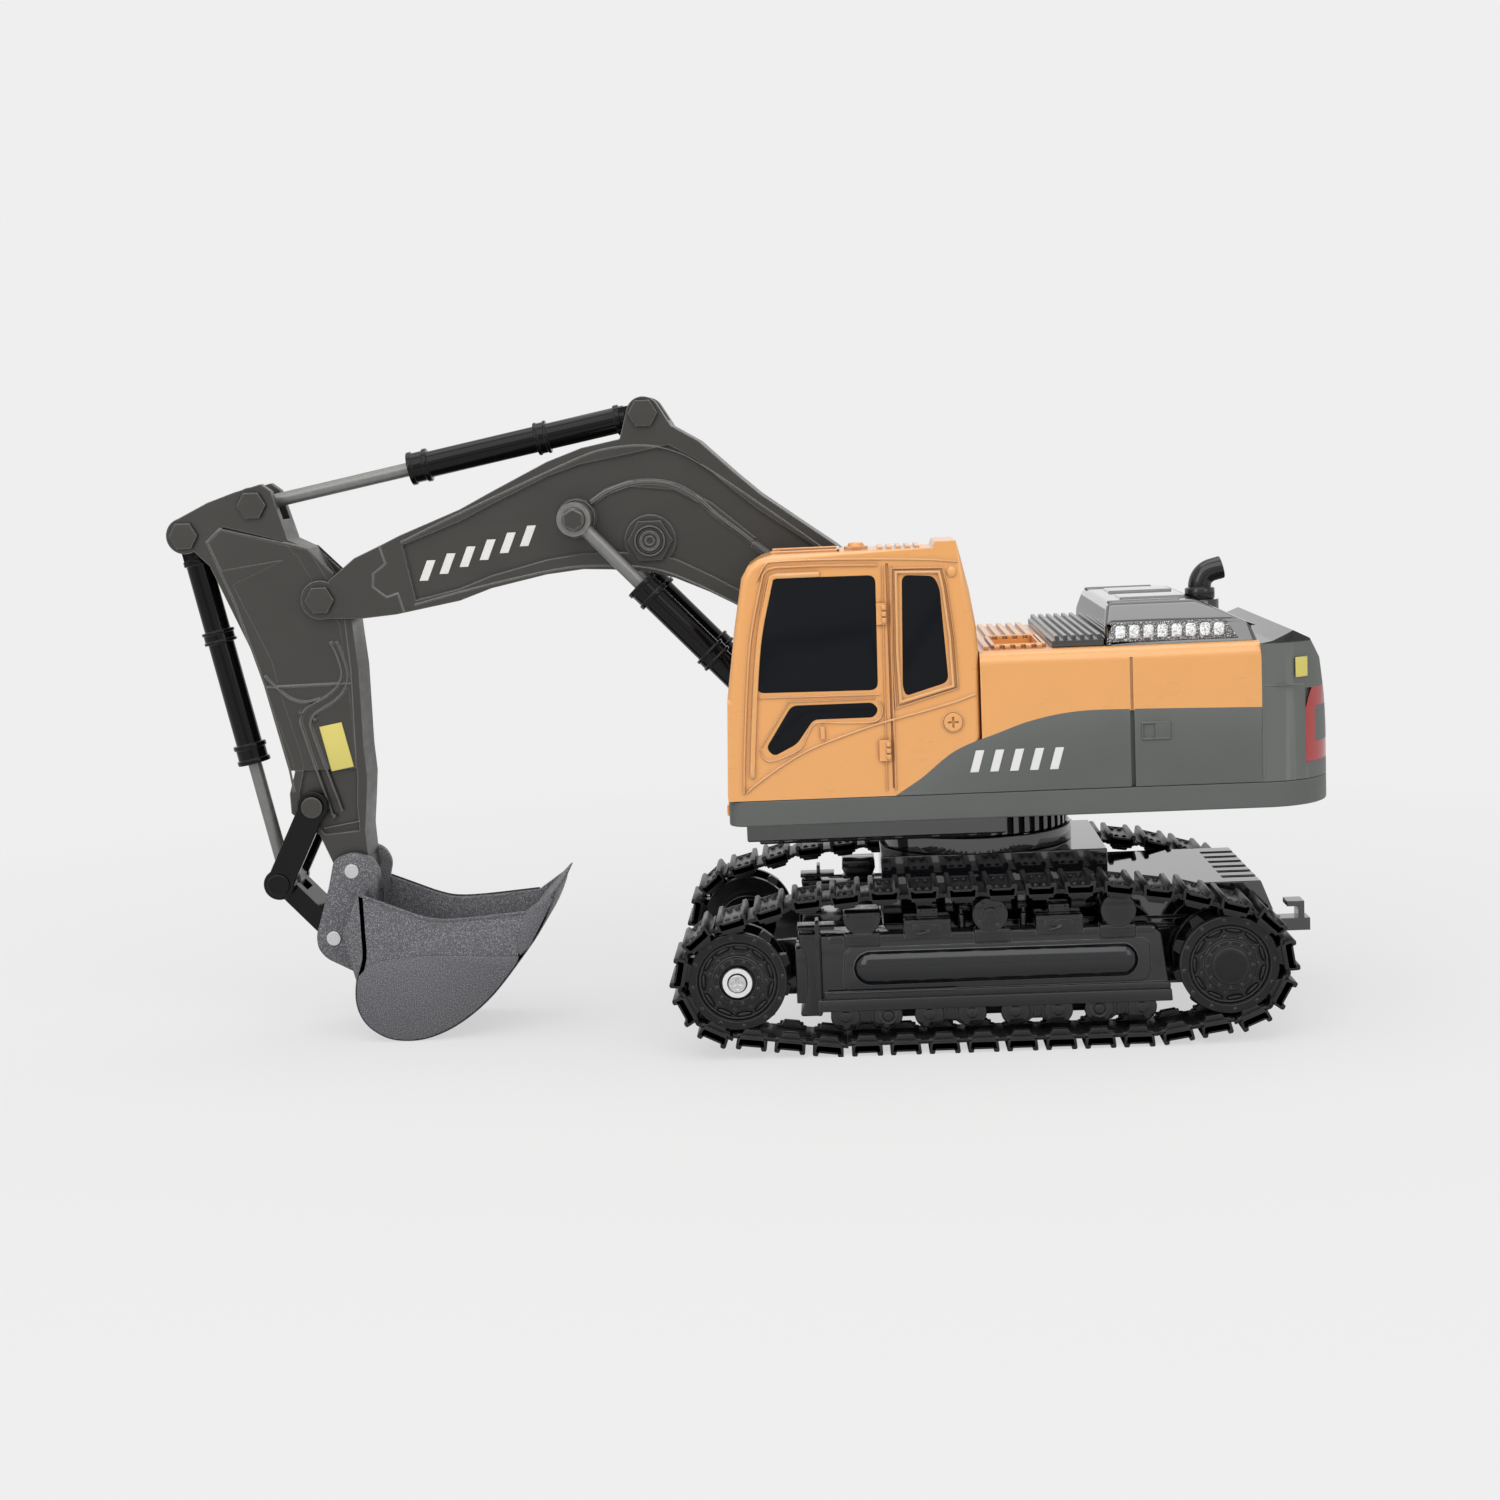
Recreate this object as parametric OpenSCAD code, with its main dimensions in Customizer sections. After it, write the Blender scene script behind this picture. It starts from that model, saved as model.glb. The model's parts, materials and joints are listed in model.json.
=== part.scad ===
// Toy tracked excavator. Forward is -X, the machine's right side is +Y, up is +Z, ground at Z 0.
// Sizes in millimetres. Every piece is a module of its own and is drawn only by the list at the end.

/* [Tracks] */
// height of both wheel axles above the ground
axle_z = 22.2; // [21.8:0.1:23]
// front wheel axle, along X
idler_x = -4.4; // [-6:0.1:-3]
// rear wheel axle, along X
sprocket_x = 134.8; // [133:0.1:136.5]
// radius of the wheel discs
wheel_r = 14; // [13:0.1:14.2]
// radius of the belt's plate line round the wheels
belt_r = 16.6; // [16.4:0.1:17]
// outer face of the tracks, from the middle of the machine
track_out = 54; // [53:0.5:56]
// width of one track shoe
shoe_w = 22; // [21:0.5:22.5]
// number of track shoes on one belt
shoe_count = 35; // [31:1:36]
// thickness of a shoe's plate
shoe_t = 1.4; // [1.2:0.1:1.6]
// height of the ribs over the middle of a shoe's plate
rib_h = 2.2; // [1.8:0.1:2.4]
// depth of the link rails under the middle of a shoe's plate
rail_h = 2.2; // [1.8:0.1:2.3]
// number of teeth on the driving wheel
tooth_count = 10; // [8:1:14]
// radius to the tips of those teeth
tooth_r = 15.3; // [14.6:0.1:15.4]
// radius of the wheel axles
axle_r = 3; // [2.5:0.1:3.5]

/* [Chassis] */
// swing axis, along X
slew_x = 67; // [64:0.5:70]
// underside of the chassis
belly_z = 12; // [11:0.5:13]
// top of the swing tower
tower_z = 52.3; // [51:0.1:53]
// half width of the swing tower
tower_half = 26; // [25:0.5:27]
// top of the rear deck
deck_z = 41.5; // [40:0.5:42]
// wall of the chassis mouldings
chassis_wall = 3; // [2:0.5:3.5]
// radius of the fixed swing flange
flange_r = 29; // [27:0.5:30]
// radius of the ribbed swing ring
ring_r = 28; // [26:0.5:29]
// radius of the hollow hub the house turns on
hub_r = 12; // [11:0.5:14]

/* [House] */
// half width of the house
house_half = 46.5; // [45:0.5:48]
// front edge of the house
house_front = -5; // [-7:0.5:-3]
// rear edge of the counterweight
house_rear = 167; // [165:0.5:169]
// plan radius of the counterweight's corners
tail_r = 20; // [16:1:24]
// underside of the house floor
floor_z = 65.9; // [65.9:0.1:66.5]
// top of the grey skirt
skirt_z = 73.3; // [72.5:0.1:74]
// top of the orange body
body_z = 113; // [112:0.5:114]
// joint between the orange body and the counterweight
tail_x = 145.8; // [145:0.2:147]
// wall of the house mouldings
shell_t = 2.4; // [1.8:0.2:3]
// inner side of the cab, from the middle of the machine
cab_in = 21; // [20.6:0.2:22]
// top of the cab's roof
roof_z = 142.8; // [142:0.2:144]
// thickness of the window panes
pane_t = 0.8; // [0.6:0.1:1.2]
// radius of the exhaust pipe
pipe_r = 3; // [2.5:0.1:3.4]

/* [Arm] */
// boom foot pivot, X and Z
foot_x = 56; // [54:0.5:58]
foot_z = 98; // [96:0.5:99]
// base pivot of the boom cylinders, X and Z
ram_x = 14; // [12:0.5:16]
ram_z = 88; // [87:0.5:89]
// half width of the boom inside its raised rims
boom_half = 9.3; // [9:0.1:9.8]
// height of the raised rims on boom and stick
rim_h = 1.2; // [0.8:0.1:1.2]
// half width of the stick inside its raised rims
stick_half = 6.8; // [6.6:0.1:6.8]
// wall of the boom and stick mouldings
arm_wall = 2.6; // [2:0.2:3]
// distance from the middle to the boom cylinders
ram_y = 15.6; // [15.4:0.1:15.8]
// radius of a cylinder's barrel
barrel_r = 3.9; // [3.6:0.1:4]
// radius of a cylinder's rod
rod_r = 2.05; // [1.8:0.05:2.2]
// radius of a rod's eye
eye_r = 5; // [4.8:0.1:5.2]
// radius of all arm pins
pin_r = 1.8; // [1.6:0.1:2]
// size over the corners of the hexagon heads, as a radius
hex_r = 4.4; // [4:0.1:4.6]
// half width of the bucket
bucket_half = 19; // [18:0.5:21]
// thickness of the bucket's plates
bucket_t = 1.8; // [1.4:0.2:2.2]
// number of bucket teeth
tooth_n = 6; // [4:1:7]

/* [Fits] */
// radial gap of a turning or sliding pin in its bore
run_gap = 0.05; // [0.02:0.01:0.08]
// side gap between pieces that move past each other
side_gap = 0.35; // [0.3:0.05:0.4]
// radial gap of the freed pivots in the three linkages
free_gap = 1.7; // [1.6:0.05:1.8]

/* [Hidden] */
frame_x = 2.3;
eps = 0.01;
track_y = track_out - shoe_w / 2;
// inner face of a track's side frame, and half width of the pocket inside the chassis
side_y = track_out - shoe_w - 2;
pocket = tower_half - chassis_wall;
foot = [foot_x, foot_z];
ram_base = [ram_x, ram_z];
ram_eye = [-47.8, 154.1];
tip = [-125.6, 133.2];
lug = [-26.7, 184];
stick_eye = [-144.6, 162];
curl_base = [-165.7, 153.8];
rock_top = [-132, 71.1];
rock_end = [-143.9, 47.7];
hinge = [-121.4, 51.1];
link_end = [-128.2, 30.7];
boom_out = boom_half + rim_h;
stick_out = stick_half + rim_h;
gland_l = 6;

// distances and directions in the X-Z plane
function span(p, q) = norm(q - p);
function lean(p, q) = atan2(q[0] - p[0], q[1] - p[1]);
function mid(p, q, t) = p + (q - p) * t;
function toward(p, c, d) = p + (c - p) * (d / norm(c - p));
function back(v) = [for (i = [len(v) - 1:-1:0]) v[i]];

module placed() { translate([frame_x, 0, 0]) children(); }
module slab(y0, y1) { translate([0, y1, 0]) rotate([90, 0, 0]) linear_extrude(y1 - y0) children(); }
module prism(p, y0, y1) { slab(y0, y1) polygon(p); }
module bar(p, r, y0, y1, n = 48) {
  translate([p[0], y1, p[1]]) rotate([90, 0, 0]) cylinder(h = y1 - y0, r = r, $fn = n);
}
// flat raised band of half-width r along the points p
function beside(p, i, r) =
  let (d = p[min(i + 1, len(p) - 1)] - p[max(i - 1, 0)]) p[i] + [-d[1], d[0]] * r / norm(d);
module strip(p, r, y0, y1) {
  prism(concat([for (i = [0:len(p) - 1]) beside(p, i, r)], back([for (i = [0:len(p) - 1]) beside(p, i, -r)])),
    y0, y1);
}
module along(p, q, y = 0) { translate([p[0], y, p[1]]) rotate([0, lean(p, q), 0]) children(); }
module box(a, b) { translate(a) cube(b - a); }
module twin() { children(); mirror([0, 1, 0]) children(); }
module side(s) { if (s > 0) children(); else mirror([0, 1, 0]) children(); }

// ---------------------------------------------------------------- tracks
// circles the belt's plate line runs round, as x, z, radius, in order from the front wheel
loop = [[idler_x, axle_z, belt_r], [14, 36.2, 7.8], [34, 38, 7.8], [100, 38, 7.8],
  [121.5, 35, 7.8], [sprocket_x, axle_z, belt_r], [113, rib_h + 8, 8], [22, rib_h + 8, 8]];
loop_n = len(loop);
// direction of the straight run that leaves circle i, degrees from +X towards +Z
function run_dir(i) = let (a = loop[i], b = loop[(i + 1) % loop_n],
  d = norm([b[0] - a[0], b[1] - a[1]]), t = atan2(b[1] - a[1], b[0] - a[0]))
  t + asin((b[2] - a[2]) / d);
function off(a, dir, e) = [a[0] - (a[2] + e) * sin(dir), a[1] + (a[2] + e) * cos(dir)];
function run_from(i, e = 0) = off(loop[i], run_dir(i), e);
function run_to(i, e = 0) = off(loop[(i + 1) % loop_n], run_dir(i), e);
function run_len(i) = norm(run_to(i) - run_from(i));
// turn made on circle i, in degrees
function turn(i) = let (t = run_dir((i + loop_n - 1) % loop_n) - run_dir(i)) t < 0 ? t + 360 : t;
function arc_len(i) = turn(i) * PI / 180 * loop[i][2];
function done(i) = i == 0 ? 0 : done(i - 1) + arc_len(i - 1) + run_len(i - 1);
loop_len = done(loop_n);
// place on the loop at length s: x, z, direction
function spot(s, i = 0) = let (s0 = s - done(i), a = loop[i], d0 = run_dir((i + loop_n - 1) % loop_n))
  s0 < arc_len(i) ? let (d = d0 - s0 / a[2] * 180 / PI) concat(off(a, d, 0), [d])
  : s0 < arc_len(i) + run_len(i) || i == loop_n - 1 ?
    let (q = s0 - arc_len(i), d = run_dir(i), p = run_from(i))
    [p[0] + q * cos(d), p[1] + q * sin(d), d]
  : spot(s, i + 1);
module loop_area(e) {
  polygon([for (i = [0:loop_n - 1]) each [run_from(i, e), run_to(i, e)]]);
  for (c = loop) translate([c[0], c[1]]) circle(r = c[2] + e, $fn = 72);
}
module track_belt() {
  pitch = loop_len / shoe_count;
  // link rails
  for (y = [track_y - 8, track_y + 6]) slab(y, y + 2) difference() {
    loop_area(0);
    loop_area(-rail_h);
  }
  // shoes, each a plate with two cross ribs
  for (k = [0:shoe_count - 1]) {
    p = spot((k + 0.5) * pitch);
    translate([p[0], 0, p[1]]) rotate([0, -p[2], 0]) {
      box([-pitch * 0.45, track_y - shoe_w / 2, -shoe_t / 2], [pitch * 0.45, track_out, shoe_t / 2]);
      for (x = [-pitch * 0.42, pitch * 0.2])
        box([x, track_y - shoe_w / 2, 0], [x + 1.5, track_out, rib_h]);
    }
  }
}
module wheel_disc(x) {
  // two flanges on a drum, with a scalloped ring on the outer face
  p = [x, axle_z];
  bar(p, wheel_r - 2.5, track_y - 7, track_y + 7, 72);
  for (y = [track_y - 8, track_y + 6]) bar(p, wheel_r, y, y + 2, 72);
  for (a = [0:30:330]) rotate_at(p, a) bar([x + wheel_r - 3.4, axle_z], 1.6, track_y + 8 - eps,
    track_y + 8.7, 24);
}
module rotate_at(p, a) {
  translate([p[0], 0, p[1]]) rotate([0, a, 0]) translate([-p[0], 0, -p[1]]) children();
}
module track(s) { color([0.05, 0.05, 0.05]) placed() side(s) track_belt(); }
module idler(s) { color([0.05, 0.05, 0.05]) placed() side(s) difference() {
  wheel_disc(idler_x);
  bar([idler_x, axle_z], axle_r + run_gap, track_y - 20, track_y + 20);
} }
module sprocket(s) { color([0.05, 0.05, 0.05]) placed() side(s) {
  wheel_disc(sprocket_x);
  // drive shaft, one piece with the wheel's core
  bar([sprocket_x, axle_z], axle_r, pocket - 11, track_y - 7);
  for (k = [0:tooth_count - 1]) rotate_at([sprocket_x, axle_z], k * 360 / tooth_count)
    prism([[sprocket_x + wheel_r - 4, axle_z - 2.6], [sprocket_x + tooth_r - 0.2, axle_z - 0.9],
      [sprocket_x + tooth_r - 0.2, axle_z + 0.9], [sprocket_x + wheel_r - 4, axle_z + 2.6]],
      track_y - 2.5, track_y + 2.5);
} }
module hub_cap(s) { color([0.05, 0.05, 0.05]) placed() side(s) {
  bar([sprocket_x, axle_z], 7.6, track_y + 8, track_y + 9.2, 72);
  bar([sprocket_x, axle_z], 5.4, track_y + 9.2, track_y + 10.4, 72);
} }
module idler_washers() { color([0.8, 0.8, 0.8]) placed() twin() difference() {
  bar([idler_x, axle_z], 4.35, track_y + 9, track_y + 9.8);
  bar([idler_x, axle_z], 1.4, track_y, track_y + 20);
} }
module idler_screws() { color([0.75, 0.75, 0.75]) placed() twin() {
  bar([idler_x, axle_z], 1.4, track_y, track_y + 9.8);
  difference() {
    bar([idler_x, axle_z], 2.5, track_y + 9.8, track_y + 10.9);
    for (a = [0, 90]) rotate_at([idler_x, axle_z], a)
      box([idler_x - 1.6, track_y + 10.3, axle_z - 0.35], [idler_x + 1.6, track_y + 12, axle_z + 0.35]);
  }
} }
module track_frame(s) { color([0.06, 0.06, 0.06]) placed() side(s) difference() {
  union() {
    // inboard plate with both axle bosses
    box([idler_x, side_y, 14], [sprocket_x, side_y + 4, 30]);
    for (x = [idler_x, sprocket_x]) bar([x, axle_z], 9, side_y, side_y + 4);
    // front axle stub
    bar([idler_x, axle_z], axle_r, side_y + 4, track_y + 8.95);
    // side frame box
    difference() {
      prism([[19.5, belly_z], [118, belly_z], [118, 30.5], [113, 34], [19.5, 34]],
        side_y + 4 - eps, side_y + 18);
      box([22, side_y + 3, belly_z + 2], [115, side_y + 15.5, 31]);
    }
    prism([[18.5, belly_z - 0.4], [119, belly_z - 0.4], [119, 17], [18.5, 17]], side_y + 14, side_y + 18.8);
    // long raised bulge
    box([31, side_y + 17, 19.7], [108, side_y + 19.8, 28.3]);
    for (x = [31, 108]) bar([x, 24], 4.3, side_y + 17, side_y + 19.8);
    // front bracket with its upright tab
    box([12.2, side_y, 14], [20, side_y + 16.5, 31]);
    box([12.2, side_y + 6, 10.2], [20, side_y + 17, 33.5]);
    box([14, side_y + 10, 33], [16.4, side_y + 14, 37]);
    // small boxes and carrier discs along the top
    for (x = [44.3, 81.4]) box([x, side_y + 8, 33], [x + 13, side_y + 17.5, 37.3]);
    for (x = [31.7, 68, 104.3]) {
      bar([x, 37.4], 5, side_y + 6, side_y + 18.2);
      bar([x, 37.4], 3.4, side_y + 18, side_y + 19);
      box([x - 3.5, side_y + 6, 33], [x + 3.5, side_y + 17, 37]);
    }
    // roller units along the bottom
    for (x = [25.3, 49.6, 74.2, 97.7]) {
      box([x - 1, side_y + 8, 8.6], [x + 13.4, side_y + 17, belly_z + 1]);
      for (d = [0, 12.4]) {
        bar([x + d, 9.3], 3.5, side_y + 6.5, side_y + 17.6);
        bar([x + d, 9.3], 1.8, side_y + 17, side_y + 18.4);
      }
    }
  }
  bar([sprocket_x, axle_z], axle_r + run_gap, side_y - 10, side_y + 10);
  bar([idler_x, axle_z], 1.4, track_y, track_y + 20);
  // room for the chassis block wherever it is wider than the frame's inner face
  box([37, 0, belly_z - 8], [153, tower_half + 2 + side_gap, tower_z]);
} }

// ---------------------------------------------------------------- chassis
module chassis_frame() { color([0.06, 0.06, 0.06]) placed() difference() {
  union() {
    box([14, -side_y, belly_z], [104, side_y, 32]);
    box([38, -tower_half, belly_z], [104, tower_half, tower_z]);
    prism([[103, belly_z], [146, belly_z], [151.3, 20], [151.3, 33], [148, deck_z], [103, deck_z]],
      -tower_half - 2, tower_half + 2);
    box([103, -side_y, 14], [144, side_y, 32]);
  }
  // open pocket above the belly cover
  box([41, -pocket, belly_z - 1], [101, pocket, tower_z - 4]);
  box([98, -pocket, belly_z - 1], [144, pocket, deck_z - 2.5]);
  box([17, -tower_half, belly_z - 1], [38.5, tower_half, 29]);
  // seat for the belly cover
  box([36, -tower_half + 1, belly_z - 1], [145.5, tower_half - 1, belly_z + 2]);
  // swing hub bore, drive shaft bores
  translate([slew_x, 0, tower_z - 6]) cylinder(h = 10, r = hub_r + run_gap + 0.03, $fn = 96);
  bar([sprocket_x, axle_z], axle_r + run_gap, -40, 40);
  // slots in the rear edge of the deck
  for (y = [-20:8:20]) box([138, y - 1.6, deck_z - 1.2], [149, y + 1.6, deck_z + 1]);
} }
module belly_cover() { color([0.09, 0.09, 0.09]) placed() difference() {
  box([36, -tower_half + 1, belly_z], [145.5, tower_half - 1, belly_z + 2]);
  for (x = [44, 138]) for (y = [-18, 18]) translate([x, y, belly_z - 1]) {
    cylinder(h = 4, r = 1.3, $fn = 32);
    cylinder(h = 2.2, r = 2.6, $fn = 32);
  }
  for (x = [64:6:112]) box([x, -16, belly_z - 1], [x + 2, 16, belly_z + 0.6]);
} }
module belly_screws() { color([0.7, 0.7, 0.7]) placed()
  for (x = [44, 138]) for (y = [-18, 18]) translate([x, y, belly_z + 0.1]) {
    cylinder(h = 1.9, r = 1.3, $fn = 32);
    cylinder(h = 1.1, r = 2.6, $fn = 32);
  }
}
module swing_flange() { color([0.06, 0.06, 0.06]) placed() translate([slew_x, 0, tower_z]) difference() {
  cylinder(h = 5, r = flange_r, $fn = 120);
  translate([0, 0, -1]) cylinder(h = 10, r = hub_r + run_gap + 0.03, $fn = 96);
} }
module tow_hook() { color([0.06, 0.06, 0.06]) placed() difference() {
  union() {
    box([151.3, -8, 20], [153.3, 8, 30]);
    box([151.3, -3.5, 21], [166.9, 3.5, 24.8]);
    box([163.4, -3.5, 21], [165.2, 3.5, 30]);
    box([160, -3.5, 28.4], [165.2, 3.5, 30]);
  }
  translate([157, 0, 20]) cylinder(h = 6, r = 1.5, $fn = 32);
} }
module battery_pack() { color([0.2, 0.3, 0.5]) placed()
  for (k = [-1:1]) translate([44, k * (pocket - 8.2), 21.4]) rotate([0, 90, 0])
    cylinder(h = 42, r = 7.2, $fn = 64);
}
module circuit_board() { color([0.1, 0.35, 0.15]) placed() {
  box([44, -pocket + 3, 36], [88, pocket - 3, 37.6]);
  box([50, -12, 37.6], [60, -4, 40]);
  box([66, -2, 37.6], [80, 10, 41]);
  for (x = [46, 86]) for (y = [-1, 1]) translate([x, y * (pocket - 5), 37.6 - eps])
    cylinder(h = tower_z - 4 - 37.6 + eps, r = 2, $fn = 24);
} }
module travel_motors() { color([0.7, 0.7, 0.72]) placed() twin()
  translate([90, pocket - 11, 25.4]) rotate([0, 90, 0]) { cylinder(h = 24, r = 10, $fn = 72);
    translate([0, 0, 23]) cylinder(h = 3, r = 1, $fn = 24); }
}
module gearbox(s) { color([0.85, 0.85, 0.8]) placed() side(s) difference() {
  box([116.5, 2.5, 15], [143, pocket - 0.4, 37]);
  bar([sprocket_x, axle_z], axle_r + run_gap, pocket - 11.1, pocket + 7);
} }

// ---------------------------------------------------------------- house
module slew_ring() { color([0.06, 0.06, 0.06]) placed() translate([slew_x, 0, 0]) difference() {
  union() {
    translate([0, 0, tower_z + 5 + side_gap]) cylinder(h = floor_z - tower_z - 5 - side_gap,
      r = ring_r - 1, $fn = 120);
    for (a = [0:7.5:352.5]) rotate([0, 0, a]) translate([ring_r - 2, -0.8, tower_z + 5 + side_gap])
      cube([2, 1.6, floor_z - tower_z - 5 - side_gap]);
    translate([0, 0, tower_z - 4 - side_gap]) cylinder(h = 12, r = hub_r, $fn = 96);
  }
  translate([0, 0, tower_z - 6]) cylinder(h = 30, r = hub_r - 3, $fn = 72);
} }
module slew_retainer() { color([0.6, 0.6, 0.6]) placed() translate([slew_x, 0, tower_z - 6 - side_gap])
  difference() {
    cylinder(h = 2, r = hub_r + 3, $fn = 96);
    translate([0, 0, -1]) cylinder(h = 4, r = hub_r - 3, $fn = 72);
  }
}
module plan(i = 0) {
  translate([house_front + 5, -house_half + i]) square([house_rear - tail_r - house_front - 5,
    2 * (house_half - i)]);
  translate([house_front + i, -house_half + 5]) square([10, 2 * house_half - 10]);
  for (s = [-1, 1]) {
    translate([house_rear - tail_r, s * (house_half - tail_r)]) circle(r = tail_r - i, $fn = 96);
    translate([house_front + 5, s * (house_half - 5)]) circle(r = 5 - i, $fn = 48);
  }
  translate([house_rear - tail_r, -house_half + tail_r]) square([tail_r - i, 2 * (house_half - tail_r)]);
}
module storey(z0, z1, i = 0) { translate([0, 0, z0]) linear_extrude(z1 - z0) plan(i); }
// line between the orange body and the grey side panels
wave = [[42.6, skirt_z], [49.9, 77.9], [59.8, 85.4], [71.5, 89.8], [81.8, 93.2], [94, 95.2],
  [tail_x, 94.4]];
panel_area = concat(wave, [[tail_x, skirt_z]]);
module house_tray() { color([0.05, 0.05, 0.05]) placed() difference() {
  union() {
    box([-0.4, -38, 60], [73.7, 38, floor_z]);
    box([3, -34, 58.5], [70, 34, 61]);
  }
  translate([slew_x, 0, 50]) cylinder(h = 30, r = ring_r + 0.5, $fn = 120);
} }
module house_base() { color([0.37, 0.38, 0.37]) placed() difference() {
  storey(floor_z, skirt_z);
  storey(floor_z + 2, skirt_z + 1, shell_t);
  translate([slew_x, 0, 60]) cylinder(h = 20, r = hub_r - 3, $fn = 72);
  for (s = [-1, 1]) box([house_front - 1, s * 39 - 2.5, 68.6], [house_front + 1, s * 39 + 2.5, 71.6]);
} }
module front_lamps() { color([0.95, 0.55, 0.2]) placed()
  for (s = [-1, 1]) box([house_front - 0.6, s * 39 - 2.5, 68.6], [house_front + 1, s * 39 + 2.5, 71.6]);
}
module side_panel(s) { color([0.37, 0.38, 0.37]) placed() side(s) difference() {
  prism(panel_area, house_half - shell_t, house_half);
  // split line and door handle
  box([109.2, house_half - 0.5, skirt_z - 1], [110, house_half + 1, 96]);
  box([112.2, house_half - 0.9, 86.6], [120, house_half + 1, 91.4]);
} }
module body_block() {
  // rounded upper edges on both sides
  translate([67.4, 0, 0]) rotate([90, 0, 90]) linear_extrude(tail_x - 67.4) {
    translate([-house_half, skirt_z]) square([2 * house_half, body_z - skirt_z - 4]);
    translate([-house_half + 4, body_z - 5]) square([2 * house_half - 8, 5]);
    for (s = [-1, 1]) translate([s * (house_half - 4), body_z - 4]) circle(r = 4, $fn = 48);
  }
}
module body_shell() { color([0.94, 0.62, 0.33]) placed() difference() {
  union() {
    body_block();
    box([68, -38, body_z - 1], [87, 38, body_z + 0.01]);
    for (x = [69:3:84]) box([x, -40, body_z - 0.5], [x + 1.5, 40, body_z + 1]);
    // low box on the right of the boom
    box([house_front + 2, cab_in, skirt_z], [67.5, house_half, 97]);
  }
  // the same walls make room for the grey panels
  for (s = [0, 1]) mirror([0, s, 0])
    prism(concat([[42.5, skirt_z - 1]], wave, [[tail_x + 1, 94.4], [tail_x + 1, skirt_z - 1]]),
      house_half - shell_t, house_half + 1);
  box([67.4 + shell_t, -house_half + shell_t, skirt_z - 1], [tail_x - shell_t, house_half - shell_t,
    body_z - 5.5]);
  box([house_front + 4.4, cab_in + shell_t, skirt_z - 1], [67.4, house_half - shell_t, 94.6]);
  // shallow tray in the deck, split line
  box([72.5, -34, body_z - 3], [85, -8, body_z + 3]);
  for (s = [-1, 1]) box([109.2, s * house_half - 0.5, 90], [110, s * house_half + 0.5, 110]);
} }
module counterweight() { color([0.37, 0.38, 0.37]) placed() difference() {
  intersection() {
    storey(skirt_z, 117);
    prism([[tail_x, 70], [170, 70], [166.8, 82.8], [165.5, 95.6], [163.6, 107], [160.2, 113],
      [155, 115.6], [149, 113], [tail_x, 112.4]], -60, 60);
  }
  intersection() {
    storey(skirt_z + 2.5, 104, 3.4);
    box([tail_x - 1, -60, 60], [160.5, 60, 120]);
  }
  tail_lamp_area(0);
} }
module tail_lamp_area(e) {
  // a C-shaped lamp that wraps each rear corner
  for (s = [-1, 1]) difference() {
    intersection() {
      difference() { storey(78, 99, 0); storey(70, 110, 1); }
      box([158.5, s > 0 ? 20 : -44, 78], [170, s > 0 ? 44 : -20, 99]);
    }
    box([161, s > 0 ? 20 : -40, 83.5], [172, s > 0 ? 40 : -20, 93.5]);
  }
}
module tail_lamps() { color([0.7, 0.12, 0.1]) placed() intersection() {
  tail_lamp_area(0);
  prism([[150, 70], [170, 70], [166.8, 82.8], [165.5, 95.6], [163.6, 107]], -60, 60);
} }
module engine_hood() { color([0.06, 0.06, 0.06]) placed() difference() {
  union() {
    hood_solid();
    // boss under the exhaust
    translate([133.8, -15, 117]) cylinder(h = 6.2, r = pipe_r + 2.4, $fn = 64);
  }
  translate([133.8, -15, 123.2]) cylinder(h = 4, r = pipe_r + 2, $fn = 64);
  intersection() {
    prism([[106, body_z - 1], [106, 121.5], [129, 121.5], [140.5, 116], [140.5, body_z - 1]], -60, 60);
    box([100, -33, 110], [143, 33, 130]);
  }
  grille_area();
} }
module hood_solid() {
  intersection() {
    prism([[103, body_z], [103.3, 119], [104.8, 124.5], [130, 124.5], [144.2, 117.7], [tail_x, body_z]],
      -60, 60);
    translate([100, 0, 0]) rotate([90, 0, 90]) linear_extrude(50)
      polygon([[-42, body_z], [-39.5, 119], [-33, 124.6], [33, 124.6], [39.5, 119], [42, body_z]]);
  }
}
module grille_area() {
  for (s = [0, 1]) mirror([0, s, 0]) for (k = [0:8])
    box([105.4 + k * 3.7, 39, body_z + 1.4], [107.9 + k * 3.7, 45, body_z + 5.4]);
}
module hood_grilles() { color([0.8, 0.8, 0.8]) placed() intersection() {
  grille_area();
  translate([100, 0, 0]) rotate([90, 0, 90]) linear_extrude(50)
    polygon([[-41.6, body_z], [-39.1, 119], [39.1, 119], [41.6, body_z]]);
} }
module tread_panel() { color([0.07, 0.07, 0.07]) placed() {
  box([88.2, -41, body_z], [102.8, 41, body_z + 2]);
  for (x = [89:2.4:101]) box([x, -41, body_z + 1], [x + 1.2, 41, body_z + 3.4]);
} }
module exhaust_pipe() { color([0.04, 0.04, 0.04]) placed() translate([133.8, -15, 0]) {
  translate([0, 0, 123.2]) cylinder(h = 2.2, r = pipe_r + 1.4, $fn = 64);
  translate([0, 0, 123.2]) cylinder(h = 4, r = pipe_r, $fn = 64);
  translate([5, 0, 127.2]) rotate([90, 0, 0]) rotate([0, 0, 90])
    rotate_extrude(angle = 90, $fn = 96) translate([5, 0]) circle(r = pipe_r, $fn = 48);
  translate([5, 0, 132.2]) rotate([0, 90, 0]) cylinder(h = 3.4, r = pipe_r, $fn = 64);
  translate([7.4, 0, 132.2]) rotate([0, 90, 0]) cylinder(h = 1.6, r = pipe_r + 0.5, $fn = 64);
} }
cab_back = 67.2;
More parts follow.
